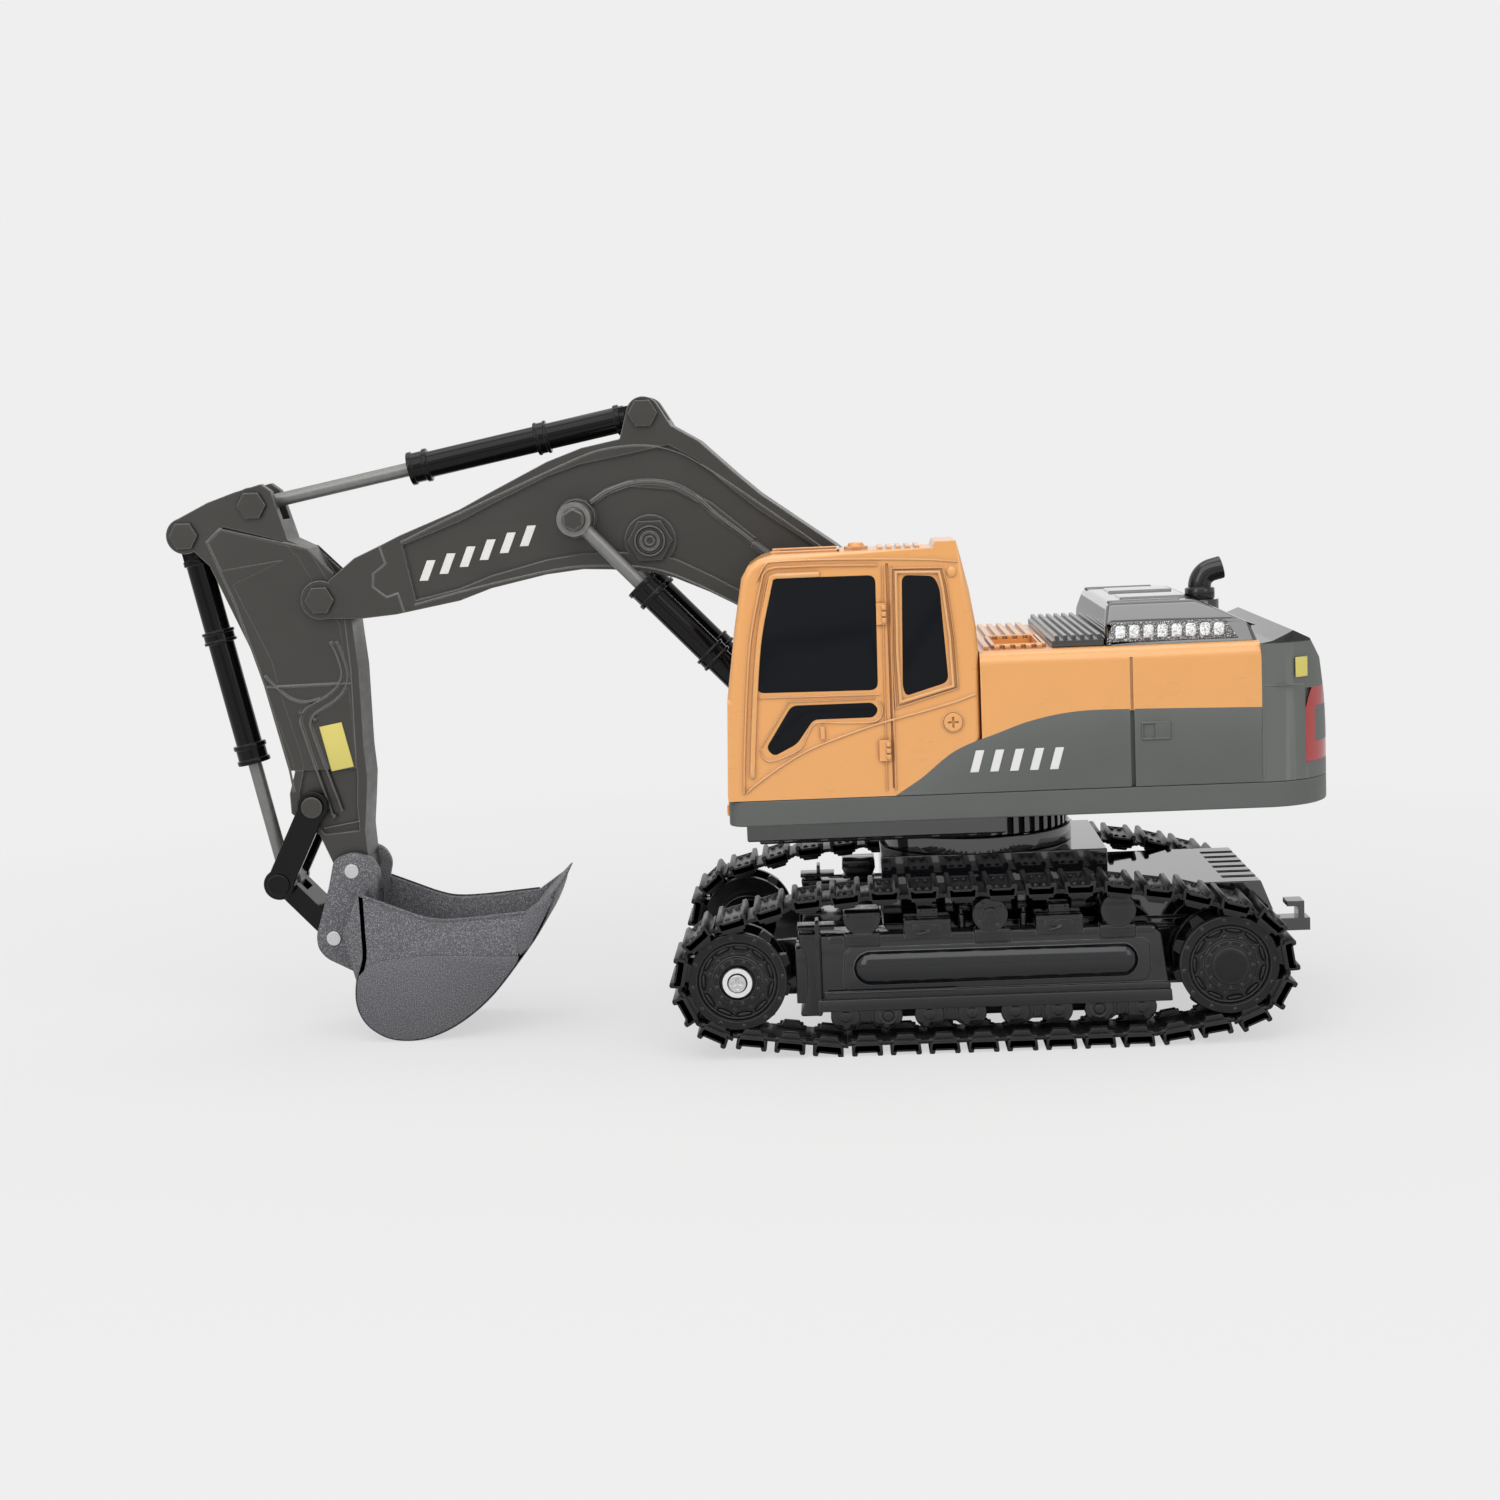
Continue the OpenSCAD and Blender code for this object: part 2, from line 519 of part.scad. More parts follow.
cab_area = [[-4.9, skirt_z], [-5, 75], [-3.9, 103.1], [-1.1, 122.4], [1.4, 136.5], [3.4, 139.8],
  [6.5, 141.7], [10.4, roof_z], [55.2, roof_z], [55.8, roof_z + 1.8], [61.7, roof_z + 1.8],
  [62.6, 141.4], [65.1, 130.6], [66.7, 120.3], [67.3, 109.9], [cab_back, 88.2], [59.8, 85.4],
  [49.9, 77.9], [42.6, skirt_z]];
door_pane = [[4.5, 104], [6, 118], [10.1, 136.1], [39, 135.9], [38.6, 103.6]];
rear_pane = [[46.4, 135.6], [55.3, 135], [56.8, 131.6], [58.5, 105.1], [46.4, 101.6], [45.6, 104.3]];
low_pane = [[14.1, 100.1], [37, 100.1], [38.6, 98.1], [37.2, 95.9], [20.1, 95.9], [15.3, 89.2],
  [8.6, 85.9], [6.5, 88.3]];
module cab_panes() { color([0.02, 0.02, 0.02]) placed() {
  for (p = [door_pane, rear_pane, low_pane]) prism(p, -house_half, -house_half + pane_t);
  for (p = [door_pane, rear_pane]) prism(p, -cab_in - pane_t, -cab_in);
} }
screen = [[-3.5, 106], [-1.1, 122.4], [1, 134]];
module windscreen() { color([0.02, 0.02, 0.02]) placed()
  prism(concat(screen, [for (p = back(screen)) p + [pane_t, 0]]), -house_half + 3.5, -cab_in - 3);
}
module skylight() { color([0.3, 0.32, 0.33]) placed()
  box([12, -house_half + 4, roof_z - 1], [28, -cab_in - 4, roof_z]);
}
module cab_shell() { color([0.94, 0.62, 0.33]) placed() difference() {
  union() {
    prism(cab_area, -house_half, -cab_in);
    // roof hatch boss and slatted grille
    translate([34, -34, roof_z - eps]) cylinder(h = 0.9, r = 3.4, $fn = 48);
    for (x = [40:2.6:52]) box([x, -43, roof_z - eps], [x + 1.3, -25, roof_z + 0.8]);
    // door hinges, handle, cap with a cross
    for (z = [83.4, 122]) box([38.4, -house_half - 0.9, z], [41.6, -house_half + eps, z + 6]);
    box([22, -house_half - 0.7, 90.3], [23.2, -house_half + eps, 93.9]);
    bar([59.4, 93.7], 2.6, -house_half - 0.8, -house_half + 1);
  }
  // hollow inside
  prism([[-1, skirt_z - 1], [-1, 103], [1.6, 122], [4.2, 136.5], [8, 139.8], [58, 139.8], [62, 130],
    [63.6, 120], [64.3, 109.9], [64.3, 92], [60, 90], [48, 81.5], [40, skirt_z - 1]],
    -house_half + shell_t, -cab_in - shell_t);
  // grey panel's place, seats of the panes, roof window seat
  for (p = [door_pane, rear_pane, low_pane]) prism(p, -house_half - 1, -house_half + pane_t);
  for (p = [door_pane, rear_pane]) prism(p, -cab_in - pane_t, -cab_in + 1);
  prism(concat([for (p = screen) p - [3, 0]], [for (p = back(screen)) p + [pane_t, 0]]),
    -house_half + 3.5, -cab_in - 3);
  box([12, -house_half + 4, roof_z - 1], [28, -cab_in - 4, roof_z + 2]);
  // door groove
  box([41.9, -house_half - 1, 75.5], [42.7, -house_half + 0.5, 139]);
  for (a = [0, 90]) rotate_at([59.4, 93.7], a)
    box([57.9, -house_half - 2, 93.4], [60.9, -house_half - 0.3, 94]);
} }
module boom_bracket() { color([0.3, 0.3, 0.28]) placed() difference() {
  union() {
    box([30, -17, floor_z + 2], [67, 17, floor_z + 5]);
    twin() {
      // cheeks each side of the boom foot
      prism([[38, floor_z + 2], [66.8, floor_z + 2], [66.8, foot_z], [foot_x + 4, foot_z + 8],
        [foot_x - 5, foot_z + 8], [foot_x - 10, foot_z]], boom_out + side_gap, boom_out + side_gap + 3);
      // lugs each side of the boom cylinders
      prism([[ram_x - 8, floor_z + 2], [ram_x + 12, floor_z + 2], [ram_x + 7, ram_z + 3],
        [ram_x + 3, ram_z + 6], [ram_x - 3, ram_z + 6], [ram_x - 6, ram_z + 2]],
        ram_y - barrel_r - side_gap - 1.8, ram_y - barrel_r - side_gap);
      box([ram_x - 8, 6, floor_z + 2], [38, 13, floor_z + 4]);
    }
    box([ram_x - 8, -12, floor_z + 2], [31, 12, floor_z + 4]);
  }
  bar(foot, pin_r + 0.7, -30, 30);
  bar(ram_base, pin_r, -30, 30);
} }
module foot_pins() { color([0.2, 0.2, 0.2]) placed() {
  bar(foot, pin_r + 0.7, -boom_out - side_gap - 3, boom_out + side_gap + 3);
  twin() bar(foot, 4, boom_out + side_gap + 3, boom_out + side_gap + 4.4, 6);
  bar(ram_base, pin_r, -ram_y - 3.2, ram_y + 3.2);
  twin() bar(ram_base, 3.6, ram_y + 3.2 + 0.1, ram_y + 4.2, 6);
  twin() bar(ram_base, pin_r, ram_y + 3.1, ram_y + 3.4);
} }

// ---------------------------------------------------------------- arm
// pairs of upper and lower edge points along the boom
boom_up = [[-122.6, 138.9], [-114.6, 145.2], [-105.8, 149], [-100.5, 151.4], [-82.2, 158.3], [-72.5, 163.1],
  [-55.7, 171.1], [-45.3, 174.7], [-34, 176.8], [-18.6, 180], [-10.7, 175.2], [-0.4, 165.4],
  [6.7, 159], [19.2, 149.8], [29.1, 142.6], [46, 127], [58, 112], [64, 100]];
boom_low = [[-124.5, 127.6], [-113, 127.2], [-103, 128], [-96.4, 129.1], [-83.8, 131.3], [-74.1, 134.6],
  [-57.5, 138], [-46.5, 139.1], [-38.3, 138.7], [-26.1, 137.4], [-19.4, 135.4], [-9.4, 130.9],
  [-0.7, 126.2], [9, 120.5], [19, 114.5], [33, 104.5], [46, 94.5], [53, 90.4]];
boom_in = [for (i = [3:15]) mid(boom_up[i], boom_low[i], 0.13)];
boom_in2 = [for (i = [3:15]) mid(boom_up[i], boom_low[i], 0.87)];
module boom_face() {
  polygon(concat(boom_up, back(boom_low)));
  translate(tip) circle(r = 5.8, $fn = 48);
  translate(lug) circle(r = 4.9, $fn = 48);
  polygon([[-34, 176.5], lug + [-4.6, 1.6], lug + [4.2, 2.5], [-18.6, 180], [-22, 170]]);
  translate(foot) circle(r = 8.3, $fn = 48);
}
module boom_half_body(s) { difference() {
  union() {
    slab(0, boom_half) boom_face();
    // raised rim along both edges, bosses
    difference() {
      slab(boom_half - eps, boom_out) boom_face();
      prism(concat(boom_in, back(boom_in2)), boom_half - 1, boom_out + 1);
    }
    bar(ram_eye, 5.8, boom_half - 1, boom_out);
    bar([-26.3, 146.7], 7.6, boom_half - 1, boom_out, 64);
    // pipe relief
    strip(hose, 0.9, boom_half - 0.5, boom_half + 0.8);
  }
  // hollow core, fork for the stick, slot for the stick cylinder
  prism(concat([for (i = [4:14]) mid(boom_up[i], boom_low[i], 0.18)],
    back([for (i = [4:14]) mid(boom_up[i], boom_low[i], 0.82)])), -1, boom_half - arm_wall);
  prism([[-140, 120], [-107, 120], [-97.5, 131], [-97.5, 146], [-104, 156], [-140, 156]], -1,
    stick_out + side_gap);
  prism([[-52, 178.6], [-37.5, 178.6], [-30, 176], [-20.5, 176], [-18, 192], [-52, 192]], -1, 4.8);
  bar(tip, pin_r, -1, 30);
  bar(lug, pin_r, -1, 30);
  bar(ram_eye, pin_r, -1, 30);
  bar([-26.3, 146.7], 2, -1, 30);
  bar(foot, pin_r + 0.7 + run_gap, -1, 30);
} }
hose = [[-43.4, 158.4], [-38.5, 161.6], [-31.6, 163.7], [-18.1, 162.1], [-8.2, 156.3], [4.2, 145.6]];
module boom_side(s) { color([0.3, 0.3, 0.28]) placed() side(s) boom_half_body(); }
module boom_pins() { color([0.3, 0.3, 0.28]) placed() {
  for (p = [tip, lug]) {
    bar(p, pin_r, -boom_out, boom_out);
    twin() bar(p, hex_r, boom_out, boom_out + 1.4, 6);
  }
  bar(ram_eye, pin_r, -ram_y - 3.4, ram_y + 3.4);
  twin() bar(ram_eye, 3.4, ram_y + 3.4, ram_y + 4.6, 48);
  bar([-26.3, 146.7], 2, -boom_out, boom_out);
  twin() {
    bar([-26.3, 146.7], 6.8, boom_out, boom_out + 1.3, 6);
    bar([-26.3, 146.7], 4, boom_out + 1.3, boom_out + 1.9, 48);
  }
} }
// pairs of front and rear edge points down the stick
stick_fr = [[-163.3, 149.3], [-158.6, 144.6], [-155.5, 137.2], [-145.6, 113.4], [-143.8, 105.4],
  [-137.9, 86.1], [-137.3, 81.5], [-139.3, 75], [-139.2, 69], [-131, 62], [-127.4, 53]];
stick_re = [[-138.7, 166], [-134.6, 151.5], [-128.9, 148.6], [-117, 127.3], [-115.8, 112.2], [-115.8, 92.5],
  [-115.8, 88], [-115.3, 79.3], [-116, 72], [-117, 63.1], [-116.6, 54.6]];
module stick_face() {
  polygon(concat([[-168, 158.6], [-157.9, 163.4], [-149.7, 166.1], [-141.6, 168.2]], stick_re,
    back(stick_fr)));
  translate(curl_base) circle(r = 5.4, $fn = 48);
  translate(stick_eye) circle(r = 5.4, $fn = 48);
  translate(rock_top) circle(r = 5.6, $fn = 48);
  translate(hinge) circle(r = 5.2, $fn = 48);
}
module stick_half_body() { difference() {
  union() {
    slab(0, stick_half) stick_face();
    difference() {
      slab(stick_half - eps, stick_out) stick_face();
      prism(concat([for (i = [2:9]) mid(stick_fr[i], stick_re[i], 0.13)],
        back([for (i = [2:9]) mid(stick_fr[i], stick_re[i], 0.87)])), stick_half - 1, stick_out + 1);
      prism([[-158.5, 151], [-153.6, 156], [-136, 151], [-132, 146], [-155, 143]], stick_half - 1,
        stick_out + 1);
    }
    bar(tip, 6, stick_half - 1, stick_out);
    strip([[-144.2, 107.4], [-118.2, 108]], 0.7, stick_half - 0.5, stick_half + 0.7);
  }
  prism(concat([for (i = [3:7]) mid(stick_fr[i], stick_re[i], 0.2)],
    back([for (i = [3:7]) mid(stick_fr[i], stick_re[i], 0.8)])), -1, stick_half - arm_wall);
  // slots for the two cylinders' ends
  prism([[-175, 165], [-166, 170], [-159.5, 160], [-157, 150], [-152, 140], [-160, 130], [-180, 130]],
    -1, 4.8);
  prism([[-152, 172], [-151, 156], [-144.6, 154.6], [-136, 157.5], [-130, 172]], -1, 4.8);
  bar(tip, pin_r + run_gap, -1, 30);
  bar(curl_base, pin_r, -1, 30);
  bar(stick_eye, pin_r, -1, 30);
  bar(rock_top, pin_r, -1, 30);
  bar(hinge, pin_r + run_gap, -1, 30);
} }
module stick_side(s) { color([0.3, 0.3, 0.28]) placed() side(s) stick_half_body(); }
module stick_pins() { color([0.3, 0.3, 0.28]) placed() {
  for (p = [curl_base, stick_eye]) {
    bar(p, pin_r, -stick_out, stick_out);
    twin() bar(p, hex_r, stick_out, stick_out + 1.4, 6);
  }
  bar(rock_top, pin_r, -11.4, 11.4);
  twin() bar(rock_top, 3.2, 11.4, 12.4, 48);
} }

// a barrel runs from its base eye at the origin up +Z
module barrel(len, collar, base_half) { difference() {
  union() {
    translate([0, base_half, 0]) rotate([90, 0, 0]) cylinder(h = 2 * base_half, r = 4.2, $fn = 48);
    translate([-3.4, -min(base_half, 3.4), 0]) cube([6.8, 2 * min(base_half, 3.4), 9]);
    translate([0, 0, 6]) cylinder(h = len - 6, r = barrel_r, $fn = 48);
    translate([0, 0, collar]) cylinder(h = 3.4, r = barrel_r + 0.7, $fn = 48);
    translate([0, 0, len - gland_l]) cylinder(h = gland_l, r = barrel_r + 0.6, $fn = 48);
  }
  rotate([90, 0, 0]) cylinder(h = 40, r = pin_r + run_gap, center = true, $fn = 48);
  translate([0, 0, 12]) cylinder(h = len, r = rod_r + run_gap, $fn = 48);
} }
// a rod's eye is at the origin and the rod runs down -Z
module rod(len, half, eye) { difference() {
  union() {
    translate([0, 0, -len]) cylinder(h = len - eye + 1, r = rod_r, $fn = 48);
    rotate([90, 0, 0]) cylinder(h = 2 * half, r = eye, center = true, $fn = 48);
  }
  rotate([90, 0, 0]) cylinder(h = 40, r = pin_r + free_gap, center = true, $fn = 48);
} }
module boom_barrels() { color([0.04, 0.04, 0.04]) placed() for (s = [-1, 1])
  along(ram_base, ram_eye, s * ram_y) barrel(63.6, 32, 3.1);
}
module boom_rods() { color([0.75, 0.75, 0.75]) placed() for (s = [-1, 1])
  along(ram_base, ram_eye, s * ram_y) translate([0, 0, span(ram_base, ram_eye)]) rod(50, 3.1, eye_r);
}
module stick_barrel() { color([0.04, 0.04, 0.04]) placed() along(lug, stick_eye) barrel(72.6, 30, 4.4); }
module stick_rod() { color([0.5, 0.5, 0.5]) placed() along(lug, stick_eye)
  translate([0, 0, span(lug, stick_eye)]) rod(74, 4.4, eye_r); }
module bucket_barrel() { color([0.04, 0.04, 0.04]) placed() along(curl_base, rock_end)
  barrel(71.3, 30, 4.4); }
module bucket_rod() { color([0.5, 0.5, 0.5]) placed() along(curl_base, rock_end)
  translate([0, 0, span(curl_base, rock_end)]) rod(62, 3, eye_r); }

arm_in = stick_out + side_gap;
module rocker_arms() { color([0.05, 0.05, 0.05]) placed() twin() difference() {
  union() {
    bar(rock_top, 4.7, arm_in, arm_in + 2.6);
    bar(rock_end, 4.7, arm_in, arm_in + 2.6);
    along(rock_top, rock_end, arm_in + 1.3) translate([-4, -1.3, 0]) cube([8, 2.6, span(rock_top, rock_end)]);
  }
  bar(rock_top, pin_r + run_gap, 0, 30);
  bar(rock_end, pin_r, 0, 30);
} }
module rocker_pin() { color([0.05, 0.05, 0.05]) placed() {
  bar(rock_end, pin_r, -arm_in - 2.6, arm_in + 2.6);
  twin() bar(rock_end, 3.4, arm_in + 2.6, arm_in + 3.6, 48);
} }
module bucket_link() { color([0.05, 0.05, 0.05]) placed() difference() {
  union() {
    bar(rock_end, 4.4, -arm_in + side_gap, arm_in - side_gap);
    bar(link_end, 4.6, -arm_in + side_gap, arm_in - side_gap);
    along(rock_end, link_end) translate([-3, -arm_in + side_gap + 0.2, 1])
      cube([6, 2 * (arm_in - side_gap - 0.2), span(rock_end, link_end) - 2.5]);
  }
  // room for the rod's eye between the two sides
  bar(rock_end, eye_r + 2.6, -3.6, 3.6);
  bar(rock_end, pin_r + run_gap, -30, 30);
  bar(link_end, pin_r + 1.1, -30, 30);
} }
lip = [-59.5, 44.4];
bowl = [[-66.5, 39.6], lip, [-60.2, 40.5], [-64, 32.6], [-70, 24.4], [-79, 13.6], [-87.1, 6.7], [-95.1, 2.2],
  [-103, 0.1], [-110.7, 0.6], [-116.2, 3.4], [-119.6, 7.4], [-121.1, 12.6], [-120.6, 19.2],
  [-118.5, 26], [-118.4, 34], [-118.5, 45.4]];
brim = [[-118.5, 45.4], [-108, 41.1], [-100.5, 38.1], [-94.4, 36.7], [-85.2, 36.8], [-68.7, 38.1]];
core = [-96, 26];
module bucket() { color([0.25, 0.25, 0.26]) placed() difference() {
  union() {
    difference() {
      prism(concat(bowl, brim), -bucket_half, bucket_half);
      // open hollow
      prism(concat([[-66.2, 60]], [for (i = [2:15]) toward(bowl[i], core, bucket_t * 1.05)],
        [[-116.6, 60]]), -bucket_half + bucket_t, bucket_half - bucket_t);
    }
    // lip with teeth
    for (k = [0:tooth_n - 1])
      translate([0, -bucket_half + (k + 0.5) * 2 * bucket_half / tooth_n, 0])
        prism([[-67, 37.4], [-57.6, 46.4], [-59.6, 42.4], [-65, 33]], -1.6, 1.6);
    // hinge ears
    for (s = [0, 1]) mirror([0, s, 0]) prism([[-126.7, 55], [-121, 57], [-115, 55], [-112.6, 50.6],
      [-114.5, 43], [-116.4, 30], [-119.4, 18.4], [-127, 22.4], [-130.8, 24.4], [-133.2, 27.4],
      [-133.6, 31.4], [-132.3, 35.4], [-128.6, 47]], arm_in, arm_in + 2.6);
    prism([[-119.6, 20], [-116.4, 20], [-116, 42], [-118.4, 42]], -arm_in - 2.6, arm_in + 2.6);
  }
  bar(hinge, pin_r, -30, 30);
  bar(link_end, pin_r, -30, 30);
  bar(hinge, 5.6, -arm_in, arm_in);
} }
module bucket_pins() { color([0.7, 0.7, 0.7]) placed() for (p = [hinge, link_end]) {
  bar(p, pin_r, -arm_in - 2.6, arm_in + 2.6);
  twin() bar(p, pin_r + 0.4, arm_in + 2.6, arm_in + 3.1, 32);
} }

chassis_frame();
belly_cover();
belly_screws();
swing_flange();
tow_hook();
battery_pack();
circuit_board();
travel_motors();
gearbox(-1);  // gearbox_left
gearbox(1);  // gearbox_right
track_frame(-1);  // track_frame_left
track_frame(1);  // track_frame_right
track(-1);  // track_left
track(1);  // track_right
idler(-1);  // idler_left
idler(1);  // idler_right
idler_washers();
idler_screws();
sprocket(-1);  // sprocket_left
sprocket(1);  // sprocket_right
hub_cap(-1);  // hub_cap_left
hub_cap(1);  // hub_cap_right
slew_ring();
slew_retainer();
house_tray();
house_base();
side_panel(-1);  // side_panel_left
side_panel(1);  // side_panel_right
body_shell();
counterweight();
engine_hood();
hood_grilles();
tread_panel();
exhaust_pipe();
cab_shell();
cab_panes();
windscreen();
skylight();
tail_lamps();
front_lamps();
boom_bracket();
foot_pins();
boom_side(-1);  // boom_left
boom_side(1);  // boom_right
boom_pins();
stick_side(-1);  // stick_left
stick_side(1);  // stick_right
stick_pins();
boom_barrels();
boom_rods();
stick_barrel();
stick_rod();
bucket_barrel();
bucket_rod();
rocker_arms();
rocker_pin();
bucket_link();
bucket();
bucket_pins();
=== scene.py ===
import json
import math

import bmesh
import bpy
from mathutils import Matrix, Vector

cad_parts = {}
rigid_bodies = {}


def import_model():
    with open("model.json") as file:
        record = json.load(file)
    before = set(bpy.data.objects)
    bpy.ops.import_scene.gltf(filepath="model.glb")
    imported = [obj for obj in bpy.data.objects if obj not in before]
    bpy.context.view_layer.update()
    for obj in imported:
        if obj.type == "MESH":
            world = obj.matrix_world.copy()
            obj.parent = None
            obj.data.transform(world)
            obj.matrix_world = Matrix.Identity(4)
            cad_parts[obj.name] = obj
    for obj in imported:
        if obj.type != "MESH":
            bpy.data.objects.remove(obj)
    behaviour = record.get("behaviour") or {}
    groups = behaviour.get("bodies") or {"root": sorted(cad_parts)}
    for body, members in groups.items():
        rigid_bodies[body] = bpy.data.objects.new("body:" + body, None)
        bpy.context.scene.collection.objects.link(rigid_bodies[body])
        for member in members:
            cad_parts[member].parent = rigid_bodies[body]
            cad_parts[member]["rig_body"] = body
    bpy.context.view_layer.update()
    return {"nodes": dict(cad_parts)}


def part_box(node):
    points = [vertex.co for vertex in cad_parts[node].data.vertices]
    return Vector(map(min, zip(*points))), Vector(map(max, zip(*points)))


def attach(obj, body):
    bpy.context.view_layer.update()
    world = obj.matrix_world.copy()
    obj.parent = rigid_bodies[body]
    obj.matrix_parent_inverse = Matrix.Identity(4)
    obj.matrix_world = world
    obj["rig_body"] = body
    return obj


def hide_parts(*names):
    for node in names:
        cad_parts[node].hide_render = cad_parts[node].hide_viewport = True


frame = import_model()
nodes = frame["nodes"]


# ---- Floor, backdrop, light and camera.
# A pale studio table seen from low on the machine's left side. Big soft lights hang overhead and a
# little behind, and two weaker ones stand at the front. The far floor melts into the pale wall.
class Wire:
    """A shader socket that can be used in sums."""

    def __init__(self, paint, socket):
        self.paint, self.socket = paint, socket

    def __add__(self, other):
        return self.paint.node("ShaderNodeMath", {"operation": "ADD"}, self, other)

    def __mul__(self, other):
        return self.paint.node("ShaderNodeMath", {"operation": "MULTIPLY"}, self, other)


class Paint:
    """One material, with the Principled shader's sockets reached by name."""

    def __init__(self, name, colour, **constants):
        self.material = bpy.data.materials.new(name)
        self.material.use_nodes = True
        self.tree = self.material.node_tree
        self.shader = self.tree.nodes["Principled BSDF"]
        self.out = self.tree.nodes["Material Output"]
        self.shader.inputs["Base Color"].default_value = (*colour, 1)
        for key, value in constants.items():
            socket = key.replace("_", " ").title().replace("Ior", "IOR")
            self.shader.inputs[socket].default_value = value

    def put(self, value, socket):
        """Links a wire to a socket, or sets the socket to a plain value."""
        if isinstance(value, Wire):
            self.tree.links.new(value.socket, socket)
        elif value is not None:
            socket.default_value = value

    def node(self, kind, settings, *inputs, out=0, **named):
        made = self.tree.nodes.new(kind)
        for key, value in settings.items():
            setattr(made, key, value)
        for key, value in list(enumerate(inputs)) + list(named.items()):
            self.put(value, made.inputs[key if isinstance(key, int) else key.replace("_", " ")])
        return Wire(self, made.outputs[out])

    def place(self, *scale):
        """Object coordinates in millimetres, times a scale."""
        spot = self.node("ShaderNodeTexCoord", {}, out=3)
        return self.node("ShaderNodeMapping", {}, spot, Scale=[1000 * s
            for s in (scale or (1, 1, 1))])

    def cloud(self, size, detail=2.0):
        """Soft noise, with features of about that many millimetres."""
        return self.node("ShaderNodeTexNoise", {}, self.place(), Scale=1 / size, Detail=detail,
            Roughness=0.5)

    def blend(self, share, a, b):
        """Colour a where share is 0 and colour b where it is 1."""
        made = self.tree.nodes.new("ShaderNodeMix")
        made.data_type = "RGBA"
        for index, value in ((0, share), (6, a), (7, b)):
            self.put(value if isinstance(value, (Wire, float)) else (*value, 1), made.inputs[index])
        return Wire(self, made.outputs[2])

    def ramp(self, value, low, high, a=0.0, b=1.0):
        return self.node("ShaderNodeMapRange", {"clamp": True}, value, low, high, a, b)

    def feed(self, **wires):
        for key, wire in wires.items():
            self.tree.links.new(wire.socket, self.shader.inputs[key.replace("_", " ")])
        return self

    def bump(self, height, depth):
        """Raises the surface by height times depth millimetres."""
        normal = self.node("ShaderNodeBump", {}, Strength=1.0, Distance=depth / 1000, Height=height)
        return self.feed(Normal=normal)


def set_on(bm, name, paint, body=None, stands_for=(), smooth=38):
    """Makes a piece from a bmesh drawn in millimetres."""
    bmesh.ops.scale(bm, vec=(0.001, 0.001, 0.001), verts=bm.verts)
    for face in bm.faces:
        face.smooth = smooth > 0
    mesh = bpy.data.meshes.new(name)
    bm.to_mesh(mesh)
    bm.free()
    if smooth:
        mesh.set_sharp_from_angle(angle=math.radians(smooth))
    thing = bpy.data.objects.new(name, mesh)
    bpy.context.scene.collection.objects.link(thing)
    mesh.materials.append(paint.material)
    if body:
        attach(thing, body)
    if stands_for:
        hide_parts(*stands_for)
    return thing


pale, wall_strength = 0.862, 0.52
table_radius = 9000
fade_start, fade_end = 0.14, 0.5
table = Paint("pale_table", (0.78, 0.78, 0.78), roughness=0.8, specular_ior_level=0.1)
seen = table.node("ShaderNodeLightPath", {}, out=0)
glow = table.node("ShaderNodeEmission", {}, (pale, pale, pale, 1), 1.0)
reach = table.node("ShaderNodeVectorMath", {"operation": "LENGTH"}, table.place(0.001, 0.001, 0),
    out=1)
edge = table.ramp(reach, fade_start, fade_end, 0.68, 1.0)
mixed = table.node("ShaderNodeMixShader", {}, seen * edge, Wire(table, table.shader.outputs[0]),
    glow)
table.tree.links.new(mixed.socket, table.out.inputs[0])
bm = bmesh.new()
bmesh.ops.create_circle(bm, cap_ends=True, radius=table_radius, segments=96)
floor = set_on(bm, "studio_floor", table)

world = bpy.data.worlds.new("studio_wall")
bpy.context.scene.world = world
world.use_nodes = True
sky = world.node_tree
wall = sky.nodes["Background"]
wall.inputs[0].default_value = (0.9, 0.9, 0.9, 1)
wall.inputs[1].default_value = wall_strength
plain = sky.nodes.new("ShaderNodeBackground")
plain.inputs[0].default_value = (pale, pale, pale, 1)
ray = sky.nodes.new("ShaderNodeLightPath")
either, any_of = sky.nodes.new("ShaderNodeMath"), sky.nodes.new("ShaderNodeMath")
either.operation = any_of.operation = "MAXIMUM"
choose = sky.nodes.new("ShaderNodeMixShader")
for start, end in ((ray.outputs["Is Camera Ray"], either.inputs[0]),
        (ray.outputs["Is Glossy Ray"], either.inputs[1]), (either.outputs[0], any_of.inputs[0]),
        (ray.outputs["Is Transmission Ray"], any_of.inputs[1]), (any_of.outputs[0],
        choose.inputs[0]), (wall.outputs[0], choose.inputs[1]), (plain.outputs[0],
        choose.inputs[2]), (choose.outputs[0], sky.nodes["World Output"].inputs[0])):
    sky.links.new(start, end)


def soft_box(name, spot, aim, size, power):
    lamp = bpy.data.lights.new(name, "AREA")
    lamp.shape, lamp.size, lamp.size_y, lamp.energy = "RECTANGLE", size[0], size[1], power
    thing = bpy.data.objects.new(name, lamp)
    bpy.context.scene.collection.objects.link(thing)
    thing.location = spot
    thing.rotation_euler = (Vector(aim) - Vector(spot)).to_track_quat("-Z", "Y").to_euler()


soft_box("overhead_light", (-0.05, -0.66, 0.88), (0, 0, 0.05), (1.3, 0.74), 5.2)
soft_box("rear_light", (0.0, 0.13, 1.1), (0, 0, 0.05), (1.1, 0.6), 3.4)
soft_box("front_light", (-0.8, -1.2, 0.6), (0, 0, 0.1), (0.7, 0.6), 2.4)
soft_box("side_light", (0.95, -1.0, 0.6), (0, 0, 0.1), (0.6, 0.6), 1.5)

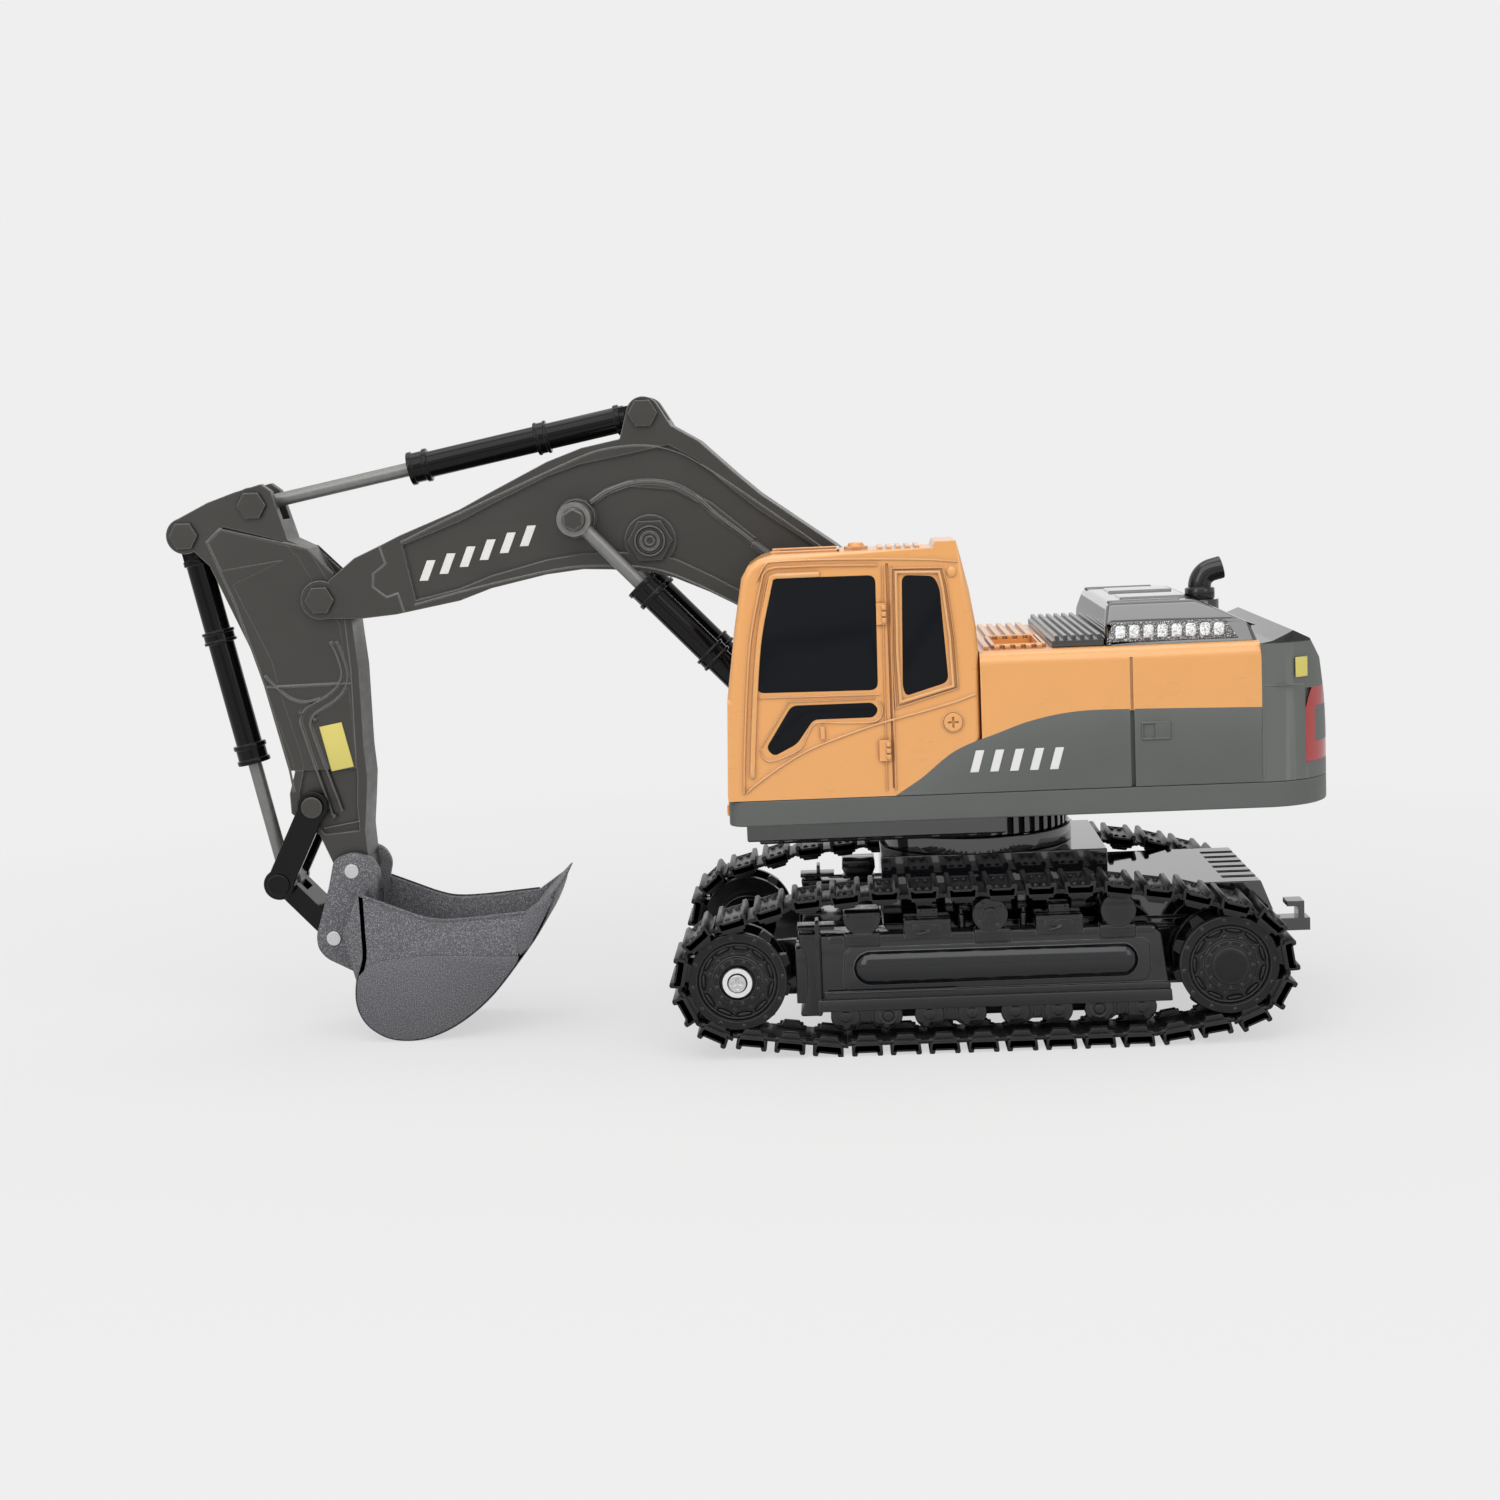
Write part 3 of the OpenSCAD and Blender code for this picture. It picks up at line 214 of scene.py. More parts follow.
eye = bpy.data.cameras.new("camera")
eye.lens, eye.sensor_width, eye.clip_start = 56.3, 36, 0.05
camera = bpy.data.objects.new("camera", eye)
bpy.context.scene.collection.objects.link(camera)
camera_spot = (0.0306, -0.70368, 0.17465)
yaw, pitch, roll = -0.0402, 0.1310, -0.0441
ahead = Vector((math.sin(yaw) * math.cos(pitch), math.cos(yaw) * math.cos(pitch), -math.sin(pitch)))
right = Vector((math.cos(yaw), -math.sin(yaw), 0))
up = right.cross(ahead)
turned_right = right * math.cos(roll) + up * math.sin(roll)
turned_up = up * math.cos(roll) - right * math.sin(roll)
camera.matrix_world = Matrix.Translation(camera_spot) @ Matrix((turned_right, turned_up,
    -ahead)).transposed().to_4x4()
bpy.context.scene.camera = camera
bpy.context.scene.view_settings.view_transform = "Standard"


# ---- Chassis.
# The black lower body is one glossy moulding with a round tower for the swing and a flat deck
# behind. Its edges are slightly rounded by the mould. Screws from below hold the belly cover.
def copied(node):
    """A node's solid in millimetres, its loose triangles joined into flat faces."""
    bm = bmesh.new()
    bm.from_mesh(nodes[node].data)
    bmesh.ops.scale(bm, vec=(1000, 1000, 1000), verts=bm.verts)
    bmesh.ops.remove_doubles(bm, verts=bm.verts, dist=0.002)
    bmesh.ops.dissolve_limit(bm, angle_limit=math.radians(0.6), verts=bm.verts, edges=bm.edges)
    return bm


def soften(bm, edges, width, segments=2, clamp=True):
    """Rounds these edges."""
    bmesh.ops.bevel(bm, geom=list(edges), offset=width, offset_type="OFFSET", segments=segments,
        profile=0.5, affect="EDGES", clamp_overlap=clamp, material=-1)


def bent(bm, angle):
    """Edges between two faces that meet at more than that many radians."""
    return [e for e in bm.edges if len(e.link_faces) == 2 and e.calc_face_angle(0) > angle]


def rounded(bm, width, segments=2, bend=30, where=None):
    """Rounds the edges that bend more than that many degrees."""
    edges = [e for e in bent(bm, math.radians(bend)) if where is None or where(e)]
    soften(bm, edges, width, segments)


def dressed(node, width, paint, segments=2, bend=30, first=None, add=None):
    """The node's own shape with a moulding's soft edges, and its raised detail if it has any."""
    bm = copied(node)
    if first:
        first(bm)
    rounded(bm, width, segments, bend)
    if add:
        add(bm)
    thing = set_on(bm, node + "_moulding", paint, nodes[node]["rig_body"], (node,))
    weighted = thing.modifiers.new("even_shading", "WEIGHTED_NORMAL")
    weighted.keep_sharp = True
    return thing


def moulded(name, colour, rough, peel=0.012, haze=0.05, edge=0.25, edge_highlight=None, crease_shade=None,
        **constants):
    """Moulded plastic: flow marks in colour and gloss, a fine skin, soft edges with a painted
    highlight, painted shade in creases.
    """
    paint = Paint(name, colour, **constants)
    patches = paint.cloud(14, 3)
    skin = paint.cloud(0.9, 2)
    scuffs = paint.node("ShaderNodeTexNoise", {}, paint.place(0.22, 0.22, 1.1), Scale=0.5,
        Detail=3.0)
    surface_tint = paint.blend(patches, tuple(c * (1 - haze) for c in colour),
        tuple(c * (1 + haze) for c in colour))
    soft = paint.node("ShaderNodeBevel", {"samples": 6}, edge / 1000)
    # Painted highlight: the base colour is lightened along edges, where the rounded-edge normal
    # turns away from the face's own normal.
    if edge_highlight:
        facing = paint.node("ShaderNodeVectorMath", {"operation": "DOT_PRODUCT"}, soft,
            paint.node("ShaderNodeNewGeometry", {}, out=3), out=1)
        surface_tint = paint.blend(paint.ramp(facing, 0.992, 0.86), surface_tint, edge_highlight)
    # Painted shade: ambient occlusion darkens the base colour in creases, corners and recesses.
    if crease_shade:
        crease_occlusion = paint.node("ShaderNodeAmbientOcclusion", {"samples": 5}, None, 0.0016, out=1)
        surface_tint = paint.blend(paint.ramp(crease_occlusion, 0.9, 0.4), surface_tint, crease_shade)
    paint.feed(Base_Color=surface_tint, Roughness=paint.ramp(patches * 0.5 + scuffs * 0.5, 0.3, 0.7,
        rough * 0.8, rough * 1.25))
    normal = paint.node("ShaderNodeBump", {}, Strength=0.5, Distance=peel / 1000, Height=skin,
        Normal=soft)
    return paint.feed(Normal=normal)


# Its edges get a painted highlight.
chassis_black = moulded("chassis_gloss_black", (0.010, 0.0105, 0.0125), 0.05,
    edge_highlight=(0.045, 0.045, 0.047), specular_ior_level=1.0, coat_weight=0.4)
for node in ("chassis_frame", "swing_flange", "tow_hook"):
    dressed(node, 0.4, chassis_black)
belly_black = moulded("belly_satin_black", (0.008, 0.008, 0.009), 0.42, peel=0.03,
    specular_ior_level=0.3)
dressed("belly_cover", 0.3, belly_black)
screw_steel = Paint("screw_steel", (0.62, 0.62, 0.63), metallic=1.0, roughness=0.24)
brushed = screw_steel.cloud(0.3, 3)
screw_steel.feed(Roughness=screw_steel.ramp(brushed, 0.3, 0.7, 0.17, 0.36))
screw_steel.bump(brushed, 0.01)
dressed("belly_screws", 0.15, screw_steel)


# ---- Drive inside the chassis.
# Three battery cells in a printed wrap, a small circuit board on two posts, two can motors and
# two closed gearboxes. They are screwed into the chassis before the belly cover goes on.
cell_wrap = moulded("battery_wrap_blue", (0.05, 0.12, 0.35), 0.38, haze=0.12)
dressed("battery_pack", 0.5, cell_wrap)
board_green = moulded("circuit_board_green", (0.02, 0.16, 0.05), 0.4, haze=0.25)
dressed("circuit_board", 0.15, board_green)
dressed("travel_motors", 0.4, screw_steel)
gear_white = moulded("gearbox_white", (0.75, 0.73, 0.66), 0.45)
for node in ("gearbox_left", "gearbox_right"):
    dressed(node, 0.5, gear_white)


# ---- Track frames.
# Each side frame is a black moulding with a long raised bulge, roller units along its bottom and
# carrier discs along its top. It is plugged onto the chassis over the drive shaft.
def plate(bm, outline, y0, y1, soft=0.0):
    """A flat plate from an outline of (x, z) points, from y0 to y1, with soft edges."""
    face = bm.faces.new([bm.verts.new((x, y0, z)) for x, z in outline])
    made = bmesh.ops.extrude_face_region(bm, geom=[face])["geom"]
    far = [g for g in made if isinstance(g, bmesh.types.BMVert)]
    bmesh.ops.translate(bm, vec=(0, y1 - y0, 0), verts=far)
    all_verts = set(far) | set(face.verts)
    edges = [e for e in bm.edges if e.verts[0] in all_verts and e.verts[1] in all_verts]
    faces = [f for f in bm.faces if f.verts[0] in all_verts]
    bmesh.ops.recalc_face_normals(bm, faces=faces)
    if soft:
        soften(bm, [e for e in edges if e.calc_face_angle(0) > 0.5], soft)


def block(bm, low, high, soft=0.25):
    """A box between two corners, with soft edges."""
    plate(bm, [(low[0], low[2]), (high[0], low[2]), (high[0], high[2]), (low[0], high[2])], low[1],
        high[1], soft)


def lathe(bm, outline, centre, steps=72):
    """Turns a closed outline of (radius, y) points once round an axis along Y."""
    x, z = centre
    points = [bm.verts.new((x + r, y, z)) for r, y in outline]
    edges = [bm.edges.new((a, b)) for a, b in zip(points, points[1:] + points[:1])]
    old = set(bm.verts) - set(points)
    bmesh.ops.spin(bm, geom=points + edges, cent=(x, 0, z), axis=(0, 1, 0), angle=2 * math.pi,
        steps=steps, use_merge=True)
    new = [v for v in bm.verts if v not in old]
    bmesh.ops.remove_doubles(bm, verts=new, dist=0.002)
    bmesh.ops.recalc_face_normals(bm, faces=[f for f in bm.faces if f.verts[0] not in old])


def disc(bm, x, z, radius, y0, y1, soft=0.3, steps=40):
    lathe(bm, [(0, y0), (radius, y0), (radius, y1 - soft), (radius - 0.3 * soft, y1 - 0.3 * soft),
        (radius - soft, y1), (0, y1)], (x, z), steps)


def rod_along(bm, start, end, radius, segments=24):
    """A round bar with domed ends between two points."""
    a, b = Vector(start), Vector(end)
    turn = (b - a).to_track_quat("Z", "Y").to_matrix().to_4x4()
    made = bmesh.ops.create_uvsphere(bm, u_segments=segments, v_segments=12, radius=radius)["verts"]
    bmesh.ops.translate(bm, vec=(0, 0, (b - a).length), verts=[v for v in made
        if v.co.z > 0.01 * radius])
    bmesh.ops.transform(bm, matrix=Matrix.Translation(a) @ turn, verts=made)
    return made


def other_side(bm):
    """The mirror image of a right-hand piece."""
    left = bm.copy()
    bmesh.ops.scale(left, vec=(1, -1, 1), verts=left.verts)
    bmesh.ops.reverse_faces(left, faces=left.faces)
    return left


def both_sides(bm, name, paint, body, node, smooth=38):
    """Sets on a right-hand piece and its mirror image. A star stands for the side in the names."""
    for side, shape in (("left", other_side(bm)), ("right", bm)):
        piece, holder, solid = (text.replace("*", side) for text in (name, body, node))
        set_on(shape, piece, paint, holder, (solid,), smooth)


def moved(bm, *by):
    """Moves the whole bmesh."""
    bmesh.ops.translate(bm, vec=by, verts=bm.verts)
    return bm


frame_inner = 30.0
# Its edges get a painted highlight.
frame_black = moulded("track_frame_black", (0.0045, 0.005, 0.0065), 0.12, peel=0.016, edge=0.35,
    edge_highlight=(0.085, 0.085, 0.088), specular_ior_level=0.55)
bm = bmesh.new()  # y is counted from the inner face of the frame
for low, high, soft in (((-2.1, 0, 14), (137.1, 4, 30), 0.4), ((21.8, 3.9, 12.2),
        (118.6, 16.5, 31.2), 0.5), ((14.5, 0, 14), (22, 16, 30), 0.3)):
    block(bm, low, high, soft)
for x in (-2.1, 137.1):
    disc(bm, x, 22.2, 9, 0, 4)
disc(bm, -2.1, 22.2, 3, 3.9, 21.9)
# Outer face with its slanting end, sunk panel, ledge and lower band.
plate(bm, [(21.8, 12.2), (121.2, 12.2), (120.6, 16), (118.6, 31.2), (115.5, 33.6), (21.8, 33.6)],
    3.9, 17.2, 0.5)
plate(bm, [(20.8, 11.7), (121.4, 11.7), (121.1, 15.2), (20.8, 15.2)], 12, 18.4, 0.4)
plate(bm, [(22.4, 15.2), (121.0, 15.2), (120.8, 17.3), (22.4, 17.3)], 12, 18.0, 0.5)
rod_along(bm, (23.4, 18.1, 17.2), (60, 18.1, 17.2), 0.35, 10)
bulge = rod_along(bm, (36, 0, 24), (107, 0, 24), 5.1, 32)
bmesh.ops.scale(bm, vec=(1, 0.62, 1), verts=bulge)
bmesh.ops.translate(bm, vec=(0, 16.65, 0), verts=bulge)
plate(bm, [(28.5, 17.9), (30, 17.6), (112.8, 17.6), (114.6, 18.3), (115.6, 21), (115.2, 28.6),
    (113.6, 30), (30.5, 30), (28.6, 28.6), (28, 21)], 12, 17.5, 0.3)
# Upper rail with clips.
rod_along(bm, (25, 15.6, 32.4), (116, 15.6, 32.4), 1.7, 20)
for x0, x1 in ((28.5, 39), (65.6, 76), (101, 111.5)):
    block(bm, (x0, 12.6, 30.3), (x1, 17.9, 34.3), 0.7)
# Front bracket: waisted plate, flat top and a tall thin rib.
plate(bm, [(15.4, 34.2), (15.8, 31.4), (17.6, 28), (17.7, 19), (16.6, 14), (15.4, 11), (15.8, 10.3),
    (21.6, 10.3), (22, 12), (22, 34.2)], 6, 16.6, 0.35)
block(bm, (15.2, 7, 35.0), (26, 15, 36.0), 0.2)
block(bm, (16.4, 8, 33.5), (20, 14, 35.3), 0.2)
plate(bm, [(20.4, 10.6), (21.5, 10.6), (21.5, 37.9), (20.4, 37.9)], 10, 18.2, 0.25)
# Small valve boxes with an embossed bar.
for x in (45.8, 83.2):
    block(bm, (x, 8, 31.8), (x + 13.4, 17.6, 37.6), 0.5)
    block(bm, (x + 3.8, 9, 37), (x + 9.8, 15.5, 40.4), 0.4)
    block(bm, (x + 2.6, 17.4, 34.4), (x + 10.4, 18.0, 36), 0.25)
    rod_along(bm, (x + 4, 17.9, 33.4), (x + 7, 17.9, 34.2), 0.5, 10)
    for dx in (4.8, 8.6):
        disc(bm, x + dx, 39.3, 0.5, 15.2, 16, 0.15, 12)
for x in (62.4, 80):
    rod_along(bm, (x, 13, 33), (x, 13, 37.2), 1.1, 14)
    rod_along(bm, (x, 13, 37), (x, 13, 39.2), 0.6, 10)
# Carrier discs: a half-round one with two bolts, a bolted one, a plain one.
plate(bm, [(28.7, 40.3), (28.6, 37.6), (29.6, 35.4), (31.4, 34.1), (34, 33.6), (36.6, 34.1),
    (38.2, 35.4), (39.2, 37.6), (39.1, 40.3)], 6, 17.8, 0.5)
for dx in (-4, 4):
    disc(bm, 33.9 + dx, 39, 0.6, 17.6, 18.3, 0.2, 12)
for x in (70.3, 106.6):
    disc(bm, x, 38.4, 5.1, 6, 18.2, 0.5)
    block(bm, (x - 3.4, 6, 32.5), (x + 3.4, 16.5, 36), 0.4)
disc(bm, 70.3, 38.4, 2.3, 18, 18.9, 0.4)
for k in range(4):
    a = 0.6 + k * math.pi / 2
    disc(bm, 70.3 + 3.7 * math.cos(a), 38.4 + 3.7 * math.sin(a), 0.5, 18, 18.6, 0.15, 12)
# Skirt behind the rollers, then the roller units: two discs, a waisted plate and an axle end.
block(bm, (24, 1, 6.6), (116, 6, 14.5), 0.5)
for n, x in enumerate((28.2, 52.2, 76.8, 100.6)):
    block(bm, (x - 1, 8, 8.8), (x + 13, 16, 12.6), 0.4)
    plate(bm, [(x, 6.4), (x + 3.4, 6.6), (x + 4.6, 7.6), (x + 7.6, 7.6), (x + 8.8, 6.6),
        (x + 12.2, 6.4), (x + 12.2, 13), (x, 13)], 8, 16.8, 0.3)
    block(bm, (x + 4.9, 16, 8.2), (x + 7.3, 17.7, 13.4), 0.3)
    for m, dx in enumerate((0, 12.2)):
        disc(bm, x + dx, 9.9, 4.2, 6.5, 17.2, 0.45)
        disc(bm, x + dx, 9.9, 1.5, 17, 17.9, 0.3, 24)
        if (n, m) in ((0, 1), (3, 0)):
            lathe(bm, [(2.0, 17), (2.5, 17), (2.5, 17.9), (2.0, 17.9)], (x + dx, 9.9), 32)
both_sides(moved(bm, 0, frame_inner, 0), "side_frame_*", frame_black, "chassis", "track_frame_*",
    32)


# ---- Wheels.
# The wheels are black mouldings: two flanges on a drum, with rings, scallops and small rivets on
# the outer face. The front one turns on a stub and is kept on by a washer and a screw.
def merge(bm, other):
    """Adds a second bmesh to the first one."""
    mesh = bpy.data.meshes.new("part")
    other.to_mesh(mesh)
    bm.from_mesh(mesh)
    other.free()
    bpy.data.meshes.remove(mesh)


def ball(bm, matrix, radius=1.0, u=8, v=5):
    """A sphere, placed and stretched by a matrix."""
    bmesh.ops.create_uvsphere(bm, u_segments=u, v_segments=v, radius=radius, matrix=matrix)


def rivets(bm, centre, y, ring, count, size, turn=0.0, lift=0.5):
    """A ring of small round rivet heads."""
    for k in range(count):
        a = turn + 2 * math.pi * k / count
        spot = (centre[0] + ring * math.cos(a), y, centre[1] + ring * math.sin(a))
        ball(bm, Matrix.Translation(spot) @ Matrix.Diagonal((1, lift, 1, 1)), size)


def middle(node):
    """The centre of a node's box, in millimetres."""
    low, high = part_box(node)
    return (low + high) * 500


# Its edges get a painted highlight.
wheel_black = moulded("wheel_black", (0.007, 0.007, 0.0075), 0.22, peel=0.02, edge=0.35,
    edge_highlight=(0.11, 0.11, 0.113), specular_ior_level=0.32)
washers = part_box("idler_washers")
front_axle = ((washers[0].x + washers[1].x) * 500, (washers[0].z + washers[1].z) * 500)
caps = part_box("hub_cap_right")
rear_axle = ((caps[0].x + caps[1].x) * 500, (caps[0].z + caps[1].z) * 500)
track_y = middle("track_right").y


def wheel(centre, bore):
    """Drum and flanges, toothed ring, sunk ring with a pointed star plate and pads, rivets."""
    bm, hub, points = bmesh.new(), (0, 0), 11
    lathe(bm, [(bore, -8), (14, -8), (14, -6), (11.5, -6), (11.5, 6), (14.1, 6), (14.1, 7.9),
        (13.8, 8.2), (11.7, 8.2), (11.4, 7.9), (11.2, 6.5), (7.2, 6.5), (7.2, 8.6), (6.9, 8.9),
        (5.3, 8.9), (5.0, 8.6), (5.0, 7.4), (bore, 7.4)], hub)
    lathe(bm, [(10.5, 6.4), (10.9, 6.4), (10.9, 7.6), (10.5, 7.6)], hub)
    star = bmesh.ops.create_circle(bm, cap_ends=True, radius=1, segments=132,
        matrix=Matrix.Rotation(-math.pi / 2, 4, "X"))["verts"]
    for v in star:
        a = math.atan2(v.co.z, v.co.x)
        v.co *= 10.2 - 1.9 * abs(math.sin(points / 2 * a)) ** 0.75
    bmesh.ops.translate(bm, vec=(0, 6.5, 0), verts=star)
    rim = bmesh.ops.extrude_face_region(bm, geom=list(star[0].link_faces))["geom"]
    top = [g for g in rim if isinstance(g, bmesh.types.BMVert)]
    bmesh.ops.translate(bm, vec=(0, 1.1, 0), verts=top)
    star_faces = {f for v in star + top for f in v.link_faces}
    bmesh.ops.recalc_face_normals(bm, faces=list(star_faces))
    star_top = [g for g in rim if isinstance(g, bmesh.types.BMFace)][0]
    soften(bm, star_top.edges, 0.22)
    for k in range(points):
        a = 2 * math.pi * (k + 0.5) / points
        pad = Matrix.Translation((0, 6.6, 0)) @ Matrix.Rotation(-a, 4, "Y")
        ball(bm, pad @ Matrix.Translation((9.75, 0, 0)) @ Matrix.Diagonal((0.75, 0.9, 2.4, 1)), 1,
            12, 8)
    for k in range(10):
        tooth = (Matrix.Rotation(2 * math.pi * k / 10, 4, "Y") @ Matrix.Translation((0, 0, 13.2))
            @ Matrix.Rotation(math.pi / 4, 4, "Z"))
        bmesh.ops.create_cone(bm, cap_ends=True, segments=4, radius1=3.6, radius2=2.0, depth=4.0,
            matrix=tooth)
    rivets(bm, hub, 8.2, 12.9, 12, 0.42, 0.1)
    rivets(bm, hub, 7.6, 8.0, points, 0.42)
    rivets(bm, hub, 8.9, 6.1, 12, 0.36, 0.2)
    return moved(bm, centre[0], track_y, centre[1])


both_sides(wheel(front_axle, 3.05), "front_wheel_*", wheel_black, "front_wheel_*", "idler_*")
washer_steel = Paint("washer_bright_steel", (0.86, 0.86, 0.86), metallic=1.0, roughness=0.34)
washer_steel.feed(Roughness=washer_steel.ramp(washer_steel.cloud(0.4, 3), 0.3, 0.7, 0.28, 0.42))
washer_steel.bump(washer_steel.cloud(0.5, 2), 0.004)
washer = bmesh.new()
lathe(washer, [(2.75, 9), (4.35, 9), (4.35, 9.55), (4.2, 9.8), (2.9, 9.8), (2.75, 9.6)], front_axle,
    64)
merge(moved(washer, 0, track_y, 0), other_side(washer))
set_on(washer, "axle_washers", washer_steel, "chassis", ("idler_washers",))
dressed("idler_screws", 0.2, screw_steel)

sprocket = wheel(rear_axle, 1.5)
lathe(sprocket, [(0, 12), (3, 12), (3, track_y - 7), (0, track_y - 7)], rear_axle, 48)
both_sides(sprocket, "drive_wheel_*", wheel_black, "drive_wheel_*", "sprocket_*")
hub = bmesh.new()
lathe(hub, [(0, 7.9), (7.3, 7.9), (7.3, 8.9), (7.0, 9.2), (5.7, 9.2), (5.45, 9.5), (5.4, 9.9),
    (5.0, 10.15), (3.2, 10.35), (1.6, 10.4), (0, 10.4)], rear_axle)
rivets(hub, rear_axle, 9.2, 6.3, 12, 0.34)
both_sides(moved(hub, 0, track_y, 0), "hub_cap_dome_*", wheel_black, "drive_wheel_*", "hub_cap_*")


# ---- Tracks.
# A belt is one soft black moulding. Each shoe is a channel with two flared cross ribs, bolt heads
# between them and a lip on its ends. Thin links with teeth join the shoes on the inside.
rounds = [(-2.1, 22.2, 16.6), (16.3, 36.2, 7.8), (36.3, 38, 7.8), (102.3, 38, 7.8),
    (123.8, 35, 7.8), (137.1, 22.2, 16.6), (115.3, 10.2, 8), (24.3, 10.2, 8)]
heading = []
for (x0, z0, r0), (x1, z1, r1) in zip(rounds, rounds[1:] + rounds[:1]):
    lean = math.asin((r1 - r0) / math.dist((x0, z0), (x1, z1)))
    heading.append(math.atan2(z1 - z0, x1 - x0) + lean)


def belt_pieces():
    """Bends and straight runs in order, each with its length."""
    for i, (x, z, r) in enumerate(rounds):
        turn = (heading[i - 1] - heading[i]) % (2 * math.pi)
        yield turn * r, (x, z, r), heading[i - 1]
        x1, z1, r1 = rounds[(i + 1) % len(rounds)]
        start = Vector((x - r * math.sin(heading[i]), z + r * math.cos(heading[i])))
        end = Vector((x1 - r1 * math.sin(heading[i]), z1 + r1 * math.cos(heading[i])))
        yield (end - start).length, (start.x, start.y, 0), heading[i]


def belt_spot(s):
    """Place and direction on the belt's plate line, a length s from its start."""
    for length, (x, z, r), turn in belt_pieces():
        if s < length:
            break
        s -= length
    if r:
        turn -= s / r
        return x - r * math.sin(turn), z + r * math.cos(turn), turn
    return x + s * math.cos(turn), z + s * math.sin(turn), turn


belt_length = sum(length for length, _, _ in belt_pieces())
shoe_count, shoe_half = 35, 11.0
pitch = belt_length / shoe_count
shoe = bmesh.new()
plate(shoe, [(-4.15, -1.0), (4.15, -1.0), (4.45, 1.8), (4.1, 2.3), (3.0, 2.3), (2.5, 0.9),
    (-2.5, 0.9), (-3.0, 2.3), (-4.1, 2.3), (-4.45, 1.8)], -shoe_half, shoe_half, 0.18)
for y in (-shoe_half, shoe_half - 0.9):
    plate(shoe, [(-3.9, 1.3), (3.9, 1.3), (3.4, -1.9), (-3.4, -1.9)], y, y + 0.9, 0.2)
block(shoe, (-pitch / 2 - 0.1, -8.5, -1.3), (pitch / 2 + 0.1, 8.5, -0.2), 0.1)
for y in (-8.2, 5.8):
    plate(shoe, [(-4.4, -0.6), (4.4, -0.6), (4.4, -1.6), (2.9, -1.7), (2.2, -3.1), (-2.2, -3.1),
        (-2.9, -1.7), (-4.4, -1.6)], y, y + 2.4, 0.2)
for y in (-6.5, 6.5):
    for x in (-1.2, 1.2):
        ball(shoe, Matrix.Translation((x, y, 0.8)), 0.85)
shoe_mesh = bpy.data.meshes.new("shoe")
shoe.to_mesh(shoe_mesh)
shoe.free()
belt = bmesh.new()
for k in range(shoe_count):
    x, z, turn = belt_spot((k + 0.5) * pitch)
    start = len(belt.verts)
    belt.from_mesh(shoe_mesh)
    belt.verts.ensure_lookup_table()
    bmesh.ops.transform(belt, matrix=Matrix.Translation((x, track_y, z))
        @ Matrix.Rotation(-turn, 4, "Y"), verts=belt.verts[start:])
bpy.data.meshes.remove(shoe_mesh)
# Its edges get a painted highlight.
belt_black = moulded("belt_soft_black", (0.010, 0.010, 0.0105), 0.3, peel=0.03, haze=0.12, edge=0.2,
    edge_highlight=(0.05, 0.05, 0.052), specular_ior_level=0.35)
both_sides(belt, "belt_*", belt_black, "chassis", "track_*", 30)


# ---- Swing ring and house floor.
# The house turns on a hollow black hub with a ribbed ring, kept down by a disc from below. A black
# tray and a grey skirt make its floor, with two small orange lamps let into the front.
dressed("slew_ring", 0.25, chassis_black)
dressed("slew_retainer", 0.25, screw_steel)
dressed("house_tray", 0.6, chassis_black)
# Its edges get a painted highlight and its creases painted shade.
house_grey = moulded("house_grey", (0.105, 0.112, 0.106), 0.42, peel=0.01,
    edge_highlight=(0.17, 0.175, 0.17), crease_shade=(0.04, 0.042, 0.04))
dressed("house_base", 0.5, house_grey)
lamp_orange = moulded("lamp_orange", (0.9, 0.33, 0.06), 0.2, coat_weight=0.6)
dressed("front_lamps", 0.3, lamp_orange)


# ---- Grey side panels and counterweight.
# Matt grey mouldings clipped to the orange body: the panels below its curved line, and the round
# counterweight at the back, with a gloss black top and a C-shaped red lamp round each rear corner.
def curve(points, steps=6):
    """A smooth line through (x, z) points."""
    spots = [Vector(p) for p in points]
    ends = [2 * spots[0] - spots[1]] + spots + [2 * spots[-1] - spots[-2]]
    line = []
    for a, b, c, d in zip(ends, ends[1:], ends[2:], ends[3:]):
        for t in (k / steps for k in range(steps)):
            p = 0.5 * (2 * b + (c - a) * t + (2 * a - 5 * b + 4 * c - d) * t ** 2
                       + (3 * b - 3 * c + d - a) * t ** 3)
            line.append((p.x, p.y))
    return line + [tuple(spots[-1])]


def sideways(points, i, closed=False):
    """Direction across a line of points at its i-th point, lengthened at a corner."""
    n = len(points)
    here = Vector(points[i])
    before = Vector(points[i - 1]) if i or closed else here
    after = Vector(points[(i + 1) % n]) if i < n - 1 or closed else here
    a, b = here - before, after - here
    a, b = (a if a.length else b).normalized(), (b if b.length else a).normalized()
    across = Vector((-(a + b).y, (a + b).x)).normalized()
    return across / max(0.55, across.dot(Vector((-a.y, a.x))))


